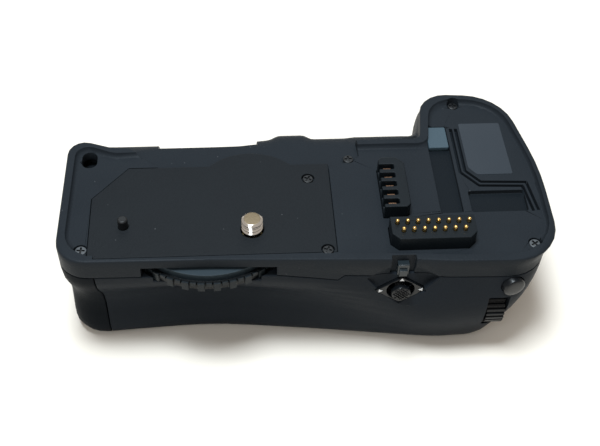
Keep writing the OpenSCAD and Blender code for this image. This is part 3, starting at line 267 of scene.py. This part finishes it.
def wound_thread(name, root, crest, pitch, start, turns):
    """A thread's ridge, wound up the Z axis from its cross section."""
    steps_per_turn = 40
    bpy.ops.object.select_all(action="DESELECT")
    bpy.ops.mesh.primitive_plane_add(size=1.0)
    ridge = bpy.context.object
    ridge.name = name
    across = (root, crest, crest, root)
    along = (-0.46, -0.08, 0.08, 0.46)
    order = sorted(range(4), key=lambda i: (ridge.data.vertices[i].co.y, ridge.data.vertices[i].co.x))
    for corner, i in zip((0, 1, 3, 2), order):
        ridge.data.vertices[i].co = (across[corner], 0.0, start + along[corner] * pitch)
    bpy.ops.object.mode_set(mode="EDIT")
    bpy.ops.mesh.select_all(action="SELECT")
    bpy.ops.mesh.delete(type="ONLY_FACE")
    bpy.ops.object.mode_set(mode="OBJECT")
    bpy.ops.object.modifier_add(type="SCREW")
    winding = ridge.modifiers[-1]
    winding.angle = 2 * pi * turns
    winding.screw_offset = pitch * turns
    winding.steps = winding.render_steps = int(steps_per_turn * turns)
    bpy.ops.object.modifier_apply(modifier=winding.name)
    bpy.ops.object.mode_set(mode="EDIT")
    bpy.ops.mesh.select_all(action="SELECT")
    bpy.ops.mesh.normals_make_consistent(inside=False)
    bpy.ops.object.mode_set(mode="OBJECT")
    bpy.ops.object.shade_smooth_by_angle(angle=radians(25))
    return ridge


dressed_node("tripod_socket", "tripod_bush", "grip", nickel, edge=0.0002)
base_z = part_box("lower_shell")[0].z
bush_y = 0.0024
quarter_inch_pitch = 0.00127
tripod_thread = wound_thread(
    "tripod_thread", root=0.00322, crest=0.0027, pitch=quarter_inch_pitch, start=base_z + 0.0008, turns=4)
tripod_thread.data.transform(Matrix.Translation((0.0, bush_y, 0.0)))
fit_piece(tripod_thread, "grip", "tripod_socket", nickel)

# Base screws: four small black cross-head screws let into the base, which hold the lower shell together.
# Pressed heads with a cross recess, blackened steel.
# The same screw is made at each place, stopped at its own angle.
black_steel = moulded_finish(
    "black_steel", (0.005, 0.0057, 0.0066), (0.0115, 0.0125, 0.014),
    smooth=0.3, rough=0.45, scale=1500.0, depth=0.00001, gloss=0.4)


def cross_head_screw(name, x, y, under, up, length):
    """A small screw with a domed head and a cross recess; under is the height of the head's seat."""
    head_radius, head_height, head_round = 0.00165, 0.0009, 0.00025
    recess_long, recess_wide, recess_high = 0.0024, 0.0006, 0.001
    shank_radius, shank_top = 0.0008, 0.0001
    stopped_at = 0.35 + 40.0 * x
    bpy.ops.object.select_all(action="DESELECT")
    bpy.ops.mesh.primitive_cylinder_add(
        vertices=40, radius=head_radius, depth=head_height, location=(0, 0, head_height / 2))
    screw = bpy.context.object
    screw.name = name
    bpy.ops.object.transform_apply(location=True)
    bpy.ops.object.modifier_add(type="BEVEL")
    screw.modifiers[-1].width = head_round
    screw.modifiers[-1].segments = 3
    bpy.ops.object.modifier_apply(modifier=screw.modifiers[-1].name)
    for size_x, size_y in ((recess_long, recess_wide), (recess_wide, recess_long)):
        bpy.ops.mesh.primitive_cube_add(size=1.0, location=(0, 0, head_height))
        cutter = bpy.context.object
        cutter.scale = (size_x, size_y, recess_high)
        bpy.ops.object.transform_apply(location=True, scale=True)
        bpy.ops.object.select_all(action="DESELECT")
        screw.select_set(True)
        bpy.context.view_layer.objects.active = screw
        bpy.ops.object.modifier_add(type="BOOLEAN")
        screw.modifiers[-1].object = cutter
        screw.modifiers[-1].operation = "DIFFERENCE"
        bpy.ops.object.modifier_apply(modifier=screw.modifiers[-1].name)
        bpy.data.objects.remove(cutter)
    bpy.ops.mesh.primitive_cylinder_add(
        vertices=20, radius=shank_radius, depth=length, location=(0, 0, shank_top - length / 2))
    bpy.ops.object.transform_apply(location=True)
    screw.select_set(True)
    bpy.context.view_layer.objects.active = screw
    bpy.ops.object.join()
    bpy.ops.object.shade_smooth_by_angle(angle=radians(30))
    turned = Matrix.Rotation(stopped_at, 4, "Z")
    if not up:
        turned = Matrix.Rotation(pi, 4, "X") @ turned
    screw.data.transform(Matrix.Translation((x, y, under)) @ turned)
    return screw


base_screw_places = ((-0.0388, 0.0005), (-0.018, 0.0005), (0.028, 0.0), (0.0597, -0.001))
for i, (x, y) in enumerate(base_screw_places, 1):
    base_screw = cross_head_screw("base_screw_%d" % i, x, y, under=base_z + 0.0011, up=False, length=0.0034)
    fit_piece(base_screw, "grip", "base_screws", black_steel)

# Screw drive: a cast carrier screwed to the chamber's roof, the hand wheel that turns on its round land,
# and the brass pinion on the mounting screw that the wheel's inner teeth drive.
# The wheel is a moulded ring with blocks round its rim for the thumb.
cast_alloy = moulded_finish(
    "cast_alloy", (0.2, 0.2, 0.21), (0.34, 0.34, 0.35),
    smooth=0.4, rough=0.6, scale=900.0, depth=0.00003, gloss=0.6, metal=1.0)
brass = moulded_finish(
    "cut_brass", (0.42, 0.31, 0.13), (0.6, 0.46, 0.22),
    smooth=0.25, rough=0.4, scale=1200.0, depth=0.00001, gloss=0.6, metal=1.0)
zinc = moulded_finish(
    "zinc_plate", (0.24, 0.25, 0.26), (0.38, 0.39, 0.41),
    smooth=0.32, rough=0.48, scale=1100.0, depth=0.00001, gloss=0.6, metal=1.0)
wheel_plastic = moulded_finish(
    "wheel_plastic", (0.006, 0.0088, 0.0112), (0.012, 0.0164, 0.02),
    smooth=0.34, rough=0.48, scale=1900.0, depth=0.00003, gloss=0.15)
wheel_axis = (-0.013, 0.010954, 0.0)
# The wheel's colour is painted by radius: its top disc lighter, painted light where the deck's lip shades
# it; a dark band of painted shade in the groove; the rim of blocks in the wheel's own dark tone.
painted_ring_light = (
    (0.0, (0.031, 0.043, 0.052)),
    (0.0258, (0.003, 0.004, 0.005)),
    (0.02735, (0.009, 0.0128, 0.0158)),
)
ramp_per_metre = 30.0
wheel_nodes, wheel_links = wheel_plastic.node_tree.nodes, wheel_plastic.node_tree.links
wheel_place = wheel_nodes.new("ShaderNodeTexCoord")
from_axis = wheel_nodes.new("ShaderNodeVectorMath")
from_axis.operation = "SUBTRACT"
from_axis.inputs[1].default_value = wheel_axis
in_plan = wheel_nodes.new("ShaderNodeVectorMath")
in_plan.operation = "MULTIPLY"
in_plan.inputs[1].default_value = (1.0, 1.0, 0.0)
radius = wheel_nodes.new("ShaderNodeVectorMath")
radius.operation = "LENGTH"
painted_rings = wheel_nodes.new("ShaderNodeValToRGB")
painted_rings.color_ramp.interpolation = "CONSTANT"
for at, painted_ring_tone in painted_ring_light:
    stop = painted_rings.color_ramp.elements.new(at * ramp_per_metre)
    stop.color = (*painted_ring_tone, 1.0)
painted_rings.color_ramp.elements.remove(painted_rings.color_ramp.elements[-1])
stretch = wheel_nodes.new("ShaderNodeMath")
stretch.operation = "MULTIPLY"
stretch.inputs[1].default_value = ramp_per_metre
wheel_links.new(wheel_place.outputs["Object"], from_axis.inputs[0])
wheel_links.new(from_axis.outputs[0], in_plan.inputs[0])
wheel_links.new(in_plan.outputs[0], radius.inputs[0])
wheel_links.new(radius.outputs["Value"], stretch.inputs[0])
wheel_links.new(stretch.outputs[0], painted_rings.inputs["Fac"])
wheel_links.new(painted_rings.outputs["Color"], wheel_nodes["Principled BSDF"].inputs["Base Color"])
dressed_node("wheel_carrier", "carrier_casting", "grip", cast_alloy, edge=0.00015)
dressed_node("attachment_wheel", "hand_wheel", "wheel", wheel_plastic, edge=0.00012)
dressed_node("screw_pinion", "drive_pinion", "screw", brass, edge=0.00006)
dressed_node("inner_screws", "inner_screw_set", "grip", zinc, edge=0.00008)

# Mounting screw: turned from steel and nickel plated, with a quarter inch thread and a chamfered end.
# It stands out of the plate and draws the grip up to the camera's tripod thread.
# Turned as one bar, with the thread wound round its core.
warm_nickel = nickel.copy()
warm_nickel.name = "warm_nickel"
warm_nickel.node_tree.nodes["Principled BSDF"].inputs["Base Color"].default_value = (0.93, 0.87, 0.81, 1.0)
warm_nickel.node_tree.nodes["Map Range"].inputs["To Max"].default_value = 0.22


def turned_bar(name, outline, sides=48):
    """A round piece about the Z axis, drawn out ring by ring: each ring is its height and radius."""
    first_z, first_radius = outline[0]
    bpy.ops.object.select_all(action="DESELECT")
    bpy.ops.mesh.primitive_circle_add(
        vertices=sides, radius=first_radius, fill_type="NGON", location=(0, 0, first_z))
    bar = bpy.context.object
    bar.name = name
    bpy.ops.object.transform_apply(location=True)
    bpy.ops.object.mode_set(mode="EDIT")
    bpy.ops.mesh.select_all(action="SELECT")
    for (z0, r0), (z1, r1) in zip(outline, outline[1:]):
        bpy.ops.mesh.extrude_region_move(TRANSFORM_OT_translate={"value": (0, 0, z1 - z0)})
        bpy.ops.transform.resize(value=(r1 / r0, r1 / r0, 1.0), center_override=(0, 0, z1))
    bpy.ops.mesh.select_all(action="SELECT")
    bpy.ops.mesh.normals_make_consistent(inside=False)
    bpy.ops.object.mode_set(mode="OBJECT")
    bpy.ops.object.shade_smooth_by_angle(angle=radians(32))
    return bar


screw_bar = turned_bar("screw_bar", (
    (-0.009, 0.0020), (-0.0088, 0.0022), (-0.0029, 0.0022), (-0.0028, 0.0026),
    (-0.0001, 0.0026), (0.0036, 0.0026), (0.0037, 0.00305), (0.0038, 0.00314),
    (0.0041, 0.00314), (0.0046, 0.00256), (0.00468, 0.00245), (0.0047, 0.0022),
))
fit_piece(screw_bar, "screw", "mounting_screw", warm_nickel)
worn_end = moulded_finish(
    "worn_end", (0.2, 0.155, 0.1), (0.3, 0.235, 0.155),
    smooth=0.5, rough=0.62, scale=1800.0, depth=0.00002, gloss=0.4, metal=1.0)
screw_bar.data.materials.append(worn_end)
chamfer_top = 0.0046
for face in screw_bar.data.polygons:
    if face.normal.z > 0.98 and face.center.z > chamfer_top:
        face.material_index = 1
screw_thread = wound_thread(
    "screw_thread", root=0.00255, crest=0.00316, pitch=quarter_inch_pitch, start=-0.0002, turns=2.9)
fit_piece(screw_thread, "screw", "mounting_screw", warm_nickel)

# Main board: a green fibreglass board under the deck that joins the connectors to the controls.
# The two connectors stand up through the deck: black glass-filled blocks soldered to the board.
# Copper blades sit in the slots of one, gold sprung pins in the bores of the other.
board_green = moulded_finish(
    "board_lacquer", (0.02, 0.09, 0.045), (0.04, 0.15, 0.075),
    smooth=0.25, rough=0.4, scale=700.0, depth=0.00001, gloss=0.5)
connector_plastic = moulded_finish(
    "connector_plastic", (0.0042, 0.0064, 0.0084), (0.0082, 0.0118, 0.015),
    smooth=0.34, rough=0.48, scale=2600.0, depth=0.00002, gloss=0.15)
gold = moulded_finish(
    "gold_plate", (0.83, 0.5, 0.14), (0.95, 0.64, 0.24),
    smooth=0.16, rough=0.3, scale=1600.0, depth=0.000005, gloss=0.5, metal=1.0)
copper = moulded_finish(
    "blade_copper", (0.26, 0.14, 0.08), (0.44, 0.26, 0.17),
    smooth=0.28, rough=0.42, scale=1300.0, depth=0.00001, gloss=0.5, metal=1.0)
dressed_node("main_board", "circuit_board", "grip", board_green, edge=0.0001)
dressed_node("power_connector", "blade_block", "grip", connector_plastic, edge=0.0003)
dressed_node("power_contacts", "contact_blades", "grip", copper, edge=0.00012)
dressed_node("signal_connector", "pin_block", "grip", connector_plastic, edge=0.0002)
dressed_node("signal_pins", "sprung_pins", "pins", gold)

# Deck: the upper moulding, with the lip that takes the camera's base, the shelf along its front,
# the long slot, the pocket and the winding groove. Same black ABS with a slightly coarser skin.
# It is screwed down on the lower shell; a short wall makes good its band at the right end.
deck_plastic = moulded_finish(
    "deck_plastic", (0.0116, 0.0145, 0.018), (0.0226, 0.0268, 0.032),
    smooth=0.36, rough=0.48, scale=2000.0, depth=0.00004, gloss=0.05, dust=0.25)
deck = even_shading(merged_copy("upper_shell", "deck_moulding", edge=0.00016, flat=0.0), reach=0.0016)
fit_piece(deck, "grip", "upper_shell", deck_plastic)
# A darker copy of the deck plastic goes on the sunk level floors at the nose end of the deck: painted shade
# for their depth.
painted_recess_shade = moulded_finish(
    "painted_recess_shade", (0.0036, 0.0056, 0.0078), (0.0072, 0.0106, 0.0142),
    smooth=0.5, rough=0.62, scale=2000.0, depth=0.00003, gloss=0.1)
deck.data.materials.append(painted_recess_shade)
sunk_from, sunk_to = (0.045, 0.0, -0.0025), (cad_high.x, 0.047, -0.0006)
for face in deck.data.polygons:
    sunk = all(a < at < b for a, at, b in zip(sunk_from, face.center, sunk_to))
    if sunk and face.normal.z > 0.9:
        face.material_index = 1


def skin_from_right(piece, y_places, z):
    """How far to the right the skin of a piece reaches, at each of the places along y and at one height."""
    start_x = 0.12
    mesh = piece.data
    skin = BVHTree.FromPolygons([v.co for v in mesh.vertices], [f.vertices for f in mesh.polygons])
    return [skin.ray_cast(Vector((start_x, y, z)), Vector((-1, 0, 0)))[0].x for y in y_places]


band_start, band_length = -0.006, 0.035
band_foot, band_height, band_thickness, band_set_back = -0.00595, 0.0024, 0.0008, 0.00003
bpy.ops.object.select_all(action="DESELECT")
bpy.ops.mesh.primitive_grid_add(x_subdivisions=30, y_subdivisions=5, size=1.0)
band = bpy.context.object
band.name = "band_wall"
along = [band_start + band_length * (vertex.co.x + 0.5) for vertex in band.data.vertices]
levels = (-0.0022, -0.0034, -0.0072)
skins = (deck, deck, body_moulding)
reach = [skin_from_right(piece, along, z) for piece, z in zip(skins, levels)]
for i, vertex in enumerate(band.data.vertices):
    z = band_foot + band_height * (vertex.co.y + 0.5)
    x = 0.0
    for k in range(3):
        a, b = (levels[j] for j in range(3) if j != k)
        x += reach[k][i] * (z - a) * (z - b) / ((levels[k] - a) * (levels[k] - b))
    vertex.co = (x - band_set_back, along[i], z)
bpy.ops.object.modifier_add(type="SOLIDIFY")
band.modifiers[-1].thickness = band_thickness
band.modifiers[-1].offset = -1.0
bpy.ops.object.modifier_apply(modifier=band.modifiers[-1].name)
bpy.ops.object.shade_smooth_by_angle(angle=radians(38))
band.data.materials.append(deck_plastic)
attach(band, "grip")

# Mounting plate: a stamped plate with a crackle coat, flush in the deck, that the camera's base lies on.
# Its front edge bulges round the screw. The short black peg beside the screw finds the camera's hole.
# Two of the deck's screws hold it.
plate_paint = moulded_finish(
    "plate_paint", (0.0064, 0.008, 0.01), (0.0133, 0.016, 0.0188),
    smooth=0.46, rough=0.6, scale=1700.0, depth=0.00005, gloss=0.12, dust=0.3)
dressed_node("mount_plate", "camera_plate", "grip", plate_paint, edge=0.00018)
dressed_node("locating_pin", "locating_peg", "grip", black_steel, edge=0.0001)

# Deck screws: four blackened screws and two bright ones, let into round wells of the deck.
# Same small cross-head screws as in the base; the bright pair is zinc plated, with painted shade in their
# cross recesses.
# They join the deck to the lower shell.
deck_seat, deck_screw_length = -0.0011, 0.002
deck_screw_places = ((0.022, -0.0086), (0.018, 0.0202), (0.0314, 0.0284), (0.0687, 0.0519))
for i, (x, y) in enumerate(deck_screw_places, 1):
    deck_screw = cross_head_screw("deck_screw_%d" % i, x, y, deck_seat, True, deck_screw_length)
    fit_piece(deck_screw, "grip", "deck_screws", black_steel)
dull_zinc = moulded_finish(
    "dull_zinc", (0.05, 0.056, 0.062), (0.085, 0.093, 0.1),
    smooth=0.4, rough=0.52, scale=1100.0, depth=0.00001, gloss=0.5)
recess_reach, recess_floor, recess_top = 0.0013, -0.0008, -0.0003
for i, (x, y) in enumerate(((-0.0501, -0.0062), (0.0838, -0.0086)), 1):
    end_screw = cross_head_screw("end_screw_%d" % i, x, y, deck_seat, True, deck_screw_length)
    fit_piece(end_screw, "grip", "end_screws", dull_zinc)
    # The faces of each cross recess take the black steel: painted shade in the recess.
    end_screw.data.materials.append(black_steel)
    for face in end_screw.data.polygons:
        from_middle = (face.center.xy - Vector((x, y))).length
        if from_middle < recess_reach and recess_floor < face.center.z < recess_top:
            face.material_index = 1

# Slot insert and label: a pale grey wedge closes the front end of the long slot,
# and a thin plastic film lies on the nose, left blank.
# The film is stuck on the bare deck inside the groove.
grey_plastic = moulded_finish(
    "grey_plastic", (0.036, 0.058, 0.074), (0.054, 0.086, 0.108),
    smooth=0.42, rough=0.58, scale=1500.0, depth=0.00003, gloss=0.3)
dressed_node("slot_insert", "slot_wedge", "grip", grey_plastic, edge=0.00035)
film = moulded_finish(
    "label_film", (0.0175, 0.024, 0.0325), (0.0238, 0.032, 0.0415),
    smooth=0.3, rough=0.42, scale=2600.0, depth=0.000006, gloss=0.3)
film_corners = ((0.0690, 0.0230), (0.0714, 0.0199), (0.0827, 0.0199), (0.0825, 0.0429), (0.0690, 0.0429))
film_under, film_thickness, film_round = 0.00002, 0.00006, 0.0006
bpy.ops.object.select_all(action="DESELECT")
bpy.ops.mesh.primitive_circle_add(vertices=5, radius=0.01, fill_type="NGON")
label = bpy.context.object
label.name = "blank_label"
for vertex, (x, y) in zip(label.data.vertices, film_corners):
    vertex.co = (x, y, film_under)
bpy.ops.object.mode_set(mode="EDIT")
bpy.ops.mesh.select_all(action="SELECT")
bpy.ops.mesh.normals_make_consistent(inside=False)
bpy.ops.mesh.bevel(offset=film_round, segments=4, affect="VERTICES")
bpy.ops.mesh.select_all(action="SELECT")
bpy.ops.mesh.extrude_region_move(TRANSFORM_OT_translate={"value": (0, 0, film_thickness)})
bpy.ops.mesh.select_all(action="SELECT")
bpy.ops.mesh.normals_make_consistent(inside=False)
bpy.ops.object.mode_set(mode="OBJECT")
label.data.materials.append(film)
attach(label, "grip")

# Selector: a thumb selector. A diamond bezel frames the well, a steel gimbal on a plastic base
# carries the stem, which tilts four ways, and a knurled cap slides on the stem to be pressed.
# White arrows are printed on three corners of the bezel, and a polished tab closes the lip above.
control_plastic = moulded_finish(
    "control_plastic", (0.003, 0.0036, 0.0046), (0.006, 0.0072, 0.009),
    smooth=0.2, rough=0.3, scale=2200.0, depth=0.00001, gloss=0.3)
tab_plastic = moulded_finish(
    "tab_plastic", (0.011, 0.016, 0.0195), (0.019, 0.026, 0.031),
    smooth=0.16, rough=0.26, scale=2000.0, depth=0.000006, gloss=0.4)
inner_plastic = moulded_finish(
    "inner_plastic", (0.013, 0.0135, 0.015), (0.024, 0.0245, 0.0265),
    smooth=0.4, rough=0.55, scale=1800.0, depth=0.00003, gloss=0.5)
ground_steel = moulded_finish(
    "ground_steel", (0.42, 0.43, 0.44), (0.58, 0.58, 0.59),
    smooth=0.24, rough=0.36, scale=1400.0, depth=0.000006, gloss=0.5, metal=1.0)
dressed_node("selector_bezel", "diamond_bezel", "grip", control_plastic, edge=0.0002)
dressed_node("selector_base", "gimbal_base", "grip", inner_plastic, edge=0.0001)
dressed_node("selector_gimbal", "gimbal_ring", "gimbal", ground_steel, edge=0.00008)
dressed_node("selector_stem", "gimbal_stem", "stem", inner_plastic, edge=0.00008)
dressed_node("selector_tab", "lip_tab", "grip", tab_plastic, edge=0.00015)
selector_mid = Vector((0.0438, -0.0155, -0.012))
knob = merged_copy("selector_cap", "selector_knob", edge=0.0001)
knob_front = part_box("selector_cap")[0].y
front_depth, front_set_back = 0.00015, 0.0003
for vertex in knob.data.vertices:
    if vertex.co.y < knob_front + front_depth:
        vertex.co.y += front_set_back
fit_piece(knob, "cap", "selector_cap", control_plastic)
pip_step, pip_height, knurl_radius, knurl_sunk = 0.00056, 0.0004, 0.0024, 0.0002
bpy.ops.object.select_all(action="DESELECT")
pips = []
for row in range(-3, 4):
    for column in range(-3, 4):
        across, up = pip_step * (row + column), pip_step * (row - column)
        if across ** 2 + up ** 2 < knurl_radius ** 2:
            bpy.ops.mesh.primitive_cone_add(
                vertices=4, radius1=0.00052, radius2=0.0002, depth=pip_height, location=(across, up, 0.0))
            pips.append(bpy.context.object)
bpy.ops.object.select_all(action="DESELECT")
for pip in pips:
    pip.select_set(True)
bpy.context.view_layer.objects.active = pips[0]
bpy.ops.object.join()
knurl = bpy.context.object
knurl.name = "selector_knurl"
bpy.ops.object.transform_apply(location=True)
face_viewer = Matrix.Rotation(radians(90), 4, "X")
knurl_at = Matrix.Translation((selector_mid.x, knob_front + knurl_sunk, selector_mid.z))
knurl.data.transform(knurl_at @ face_viewer)
fit_piece(knurl, "cap", "selector_cap", control_plastic)
arrow_paint = moulded_finish(
    "arrow_paint", (0.62, 0.63, 0.64), (0.74, 0.75, 0.76),
    smooth=0.4, rough=0.55, scale=2000.0, depth=0.00001, gloss=0.5)
arrow_radius, arrow_thickness, arrow_proud = 0.0008, 0.00008, 0.00003
for name, across, up, turned in (
    ("left", -0.0062, 0.0, 90),
    ("right", 0.0062, 0.0, -90),
    ("top", 0.0, 0.0049, 0),
):
    bpy.ops.object.select_all(action="DESELECT")
    bpy.ops.mesh.primitive_cylinder_add(vertices=3, radius=arrow_radius, depth=arrow_thickness)
    arrow = bpy.context.object
    arrow.name = "arrow_" + name
    arrow_at = Matrix.Translation(selector_mid + Vector((across, -arrow_proud, up)))
    arrow.data.transform(arrow_at @ Matrix.Rotation(radians(turned), 4, "Y") @ face_viewer)
    arrow.data.materials.append(arrow_paint)
    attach(arrow, "grip")

# Focus button and shutter release: glossy moulded buttons that press small switches on their own boards.
# The focus button is domed; the release sits in a lock lever that turns round it.
# Flanges behind the wall keep them in their bores.
def place_along(piece, at, out):
    """Turns a piece made about the Z axis so that it looks along out, at its place."""
    turned = Vector((0, 0, 1)).rotation_difference(out).to_matrix().to_4x4()
    piece.data.transform(Matrix.Translation(at) @ turned)


focus_swing = radians(14)
focus_at = Vector((0.0776, -0.01705, -0.0101))
focus_out = Vector((sin(focus_swing), -cos(focus_swing), 0.0))
focus_dome = turned_bar("focus_dome", (
    (-0.0045, 0.0038), (-0.0044, 0.00392), (-0.0038, 0.00392), (-0.0037, 0.0034),
    (0.0003, 0.0034), (0.00055, 0.00332), (0.00074, 0.0031), (0.00087, 0.0027),
    (0.00095, 0.002), (0.00099, 0.001), (0.001, 0.0003),
))
place_along(focus_dome, focus_at, focus_out)
fit_piece(focus_dome, "focus", "focus_button", control_plastic)
shutter_dip, shutter_swing = radians(15), radians(10)
shutter_at = Vector((0.0851, 0.036, -0.0164))
shutter_out = Vector((
    cos(shutter_dip) * cos(shutter_swing), cos(shutter_dip) * sin(shutter_swing), -sin(shutter_dip)))
shutter_cup = turned_bar("shutter_cup", (
    (-0.0045, 0.0041), (-0.0044, 0.00422), (-0.0038, 0.00422), (-0.0037, 0.0037),
    (0.0026, 0.0037), (0.0029, 0.0035), (0.0031, 0.0031), (0.00305, 0.0025),
    (0.0029, 0.0016), (0.00284, 0.0004),
))
place_along(shutter_cup, shutter_at, shutter_out)
fit_piece(shutter_cup, "shutter", "shutter_button", control_plastic)
dressed_node("lock_collar", "lock_lever", "collar", control_plastic, edge=0.00025)
dressed_node("switches", "tact_switches", "grip", inner_plastic, edge=0.00012)
dressed_node("switch_plates", "switch_boards", "grip", board_green, edge=0.00008)

# Command dials: two ribbed wheels on steel shafts, one under the thumb and one for the first finger.
# Moulded in the same glossy black as the buttons.
# They turn freely in slots of the lower shell.
dressed_node("rear_dial", "thumb_dial", "thumb_dial", control_plastic, edge=0.00012)
dressed_node("front_dial", "finger_dial", "finger_dial", control_plastic, edge=0.00012)
dressed_node("rear_dial_shaft", "thumb_dial_shaft", "grip", ground_steel, edge=0.0001)
dressed_node("front_dial_shaft", "finger_dial_shaft", "grip", ground_steel, edge=0.0001)

# Front grip: a pad of black rubber glued into a shallow seat on the finger belly.
# Its skin has a coarse pebble that keeps the fingers from slipping.
# It follows the three finger valleys.
grip_rubber = moulded_finish(
    "grip_rubber", (0.0075, 0.008, 0.009), (0.0165, 0.0172, 0.0185),
    smooth=0.55, rough=0.75, scale=900.0, depth=0.00016, gloss=0.12)
finger_pad = even_shading(merged_copy("front_grip", "finger_pad", edge=0.0003), reach=0.003)
fit_piece(finger_pad, "grip", "front_grip", grip_rubber)

# Battery tray: a plain black frame for two layers of cells, with sprung steel contacts in its ends.
# It slides out of the left end with the end cover, which a turning latch locks.
# The cover carries on the skin of the lower shell.
dressed_node("battery_tray", "cell_tray", "tray", inner_plastic, edge=0.0002)
dressed_node("tray_contacts", "cell_contacts", "tray", zinc, edge=0.00008)
dressed_node("chamber_contacts", "chamber_springs", "grip", zinc, edge=0.00008)
cover_plastic = moulded_finish(
    "cover_plastic", (0.0056, 0.0072, 0.0092), (0.0106, 0.013, 0.0158),
    smooth=0.42, rough=0.54, scale=2300.0, depth=0.00003, gloss=0.02)
end_cover = even_shading(merged_copy("battery_cover", "end_cover", edge=0.00022), reach=0.0032)
fit_piece(end_cover, "tray", "battery_cover", cover_plastic)
dressed_node("cover_latch", "latch_knob", "latch", control_plastic, edge=0.00025)

# Stage: a pale sheet under the grip in a plain warm room, lit until it shows white,
# with a soft shadow at the foot. A soft cool light hangs nearly overhead;
# weaker ones stand beyond the grip and to the left behind the viewer.
sheet_drop = 0.00005
bpy.ops.object.select_all(action="DESELECT")
bpy.ops.mesh.primitive_plane_add(size=6.0, location=(0.0, 0.0, cad_low.z - sheet_drop))
sheet = bpy.context.object
sheet.name = "white_sheet"
paper = bpy.data.materials.new("white_paper")
paper.use_nodes = True
paper_shader = paper.node_tree.nodes["Principled BSDF"]
paper_shader.inputs["Base Color"].default_value = (0.92, 0.84, 0.75, 1.0)
paper_shader.inputs["Roughness"].default_value = 0.9
paper_shader.inputs["Specular IOR Level"].default_value = 0.1
sheet.data.materials.append(paper)
lit_point = Vector((0.015, 0.015, -0.02))
cool_white = (0.82, 0.925, 1.0)
for name, at, size, power in (
    ("key_light", (-0.08, -0.03, 0.85), 0.24, 9.0),
    ("far_light", (0.1, 0.7, 0.7), 0.5, 1.0),
    ("near_light", (-0.3, -0.5, 0.65), 0.3, 1.0),
):
    lamp = bpy.data.lights.new(name, "AREA")
    lamp.size = size
    lamp.energy = power
    lamp.color = cool_white
    holder = bpy.data.objects.new(name, lamp)
    holder.location = at
    holder.rotation_euler = (lit_point - Vector(at)).to_track_quat("-Z", "Y").to_euler()
    bpy.context.scene.collection.objects.link(holder)
sky = bpy.data.worlds.new("white_room")
bpy.context.scene.world = sky
sky.use_nodes = True
room = sky.node_tree.nodes["Background"]
room.inputs["Color"].default_value = (1.0, 0.94, 0.86, 1.0)
room.inputs["Strength"].default_value = 0.38

# Camera: stands behind the grip and looks down on its deck, as the photograph does.
# Its lens and turn were fitted to the straight edges and the round of the screw.
# The colours go through the Standard view.
tilt, swing, lean = radians(48.93), radians(5.56), radians(2.56)
stand = Matrix.Translation((-0.00546, -0.20195, 0.23494))
level_view = Matrix(((1, 0, 0), (0, -sin(tilt), -cos(tilt)), (0, cos(tilt), -sin(tilt))))
rows = Matrix.Rotation(lean, 3, "Z") @ level_view @ Matrix.Rotation(swing, 3, "Z")
lens = bpy.data.cameras.new("viewer")
lens.sensor_fit = "HORIZONTAL"
lens.sensor_width = 36.0
lens.lens = 62.4
lens.clip_start = 0.01
viewer = bpy.data.objects.new("viewer", lens)
viewer.matrix_world = stand @ Matrix((rows[0], -rows[1], -rows[2])).transposed().to_4x4()
bpy.context.scene.collection.objects.link(viewer)
bpy.context.scene.camera = viewer
bpy.context.scene.view_settings.view_transform = "Standard"
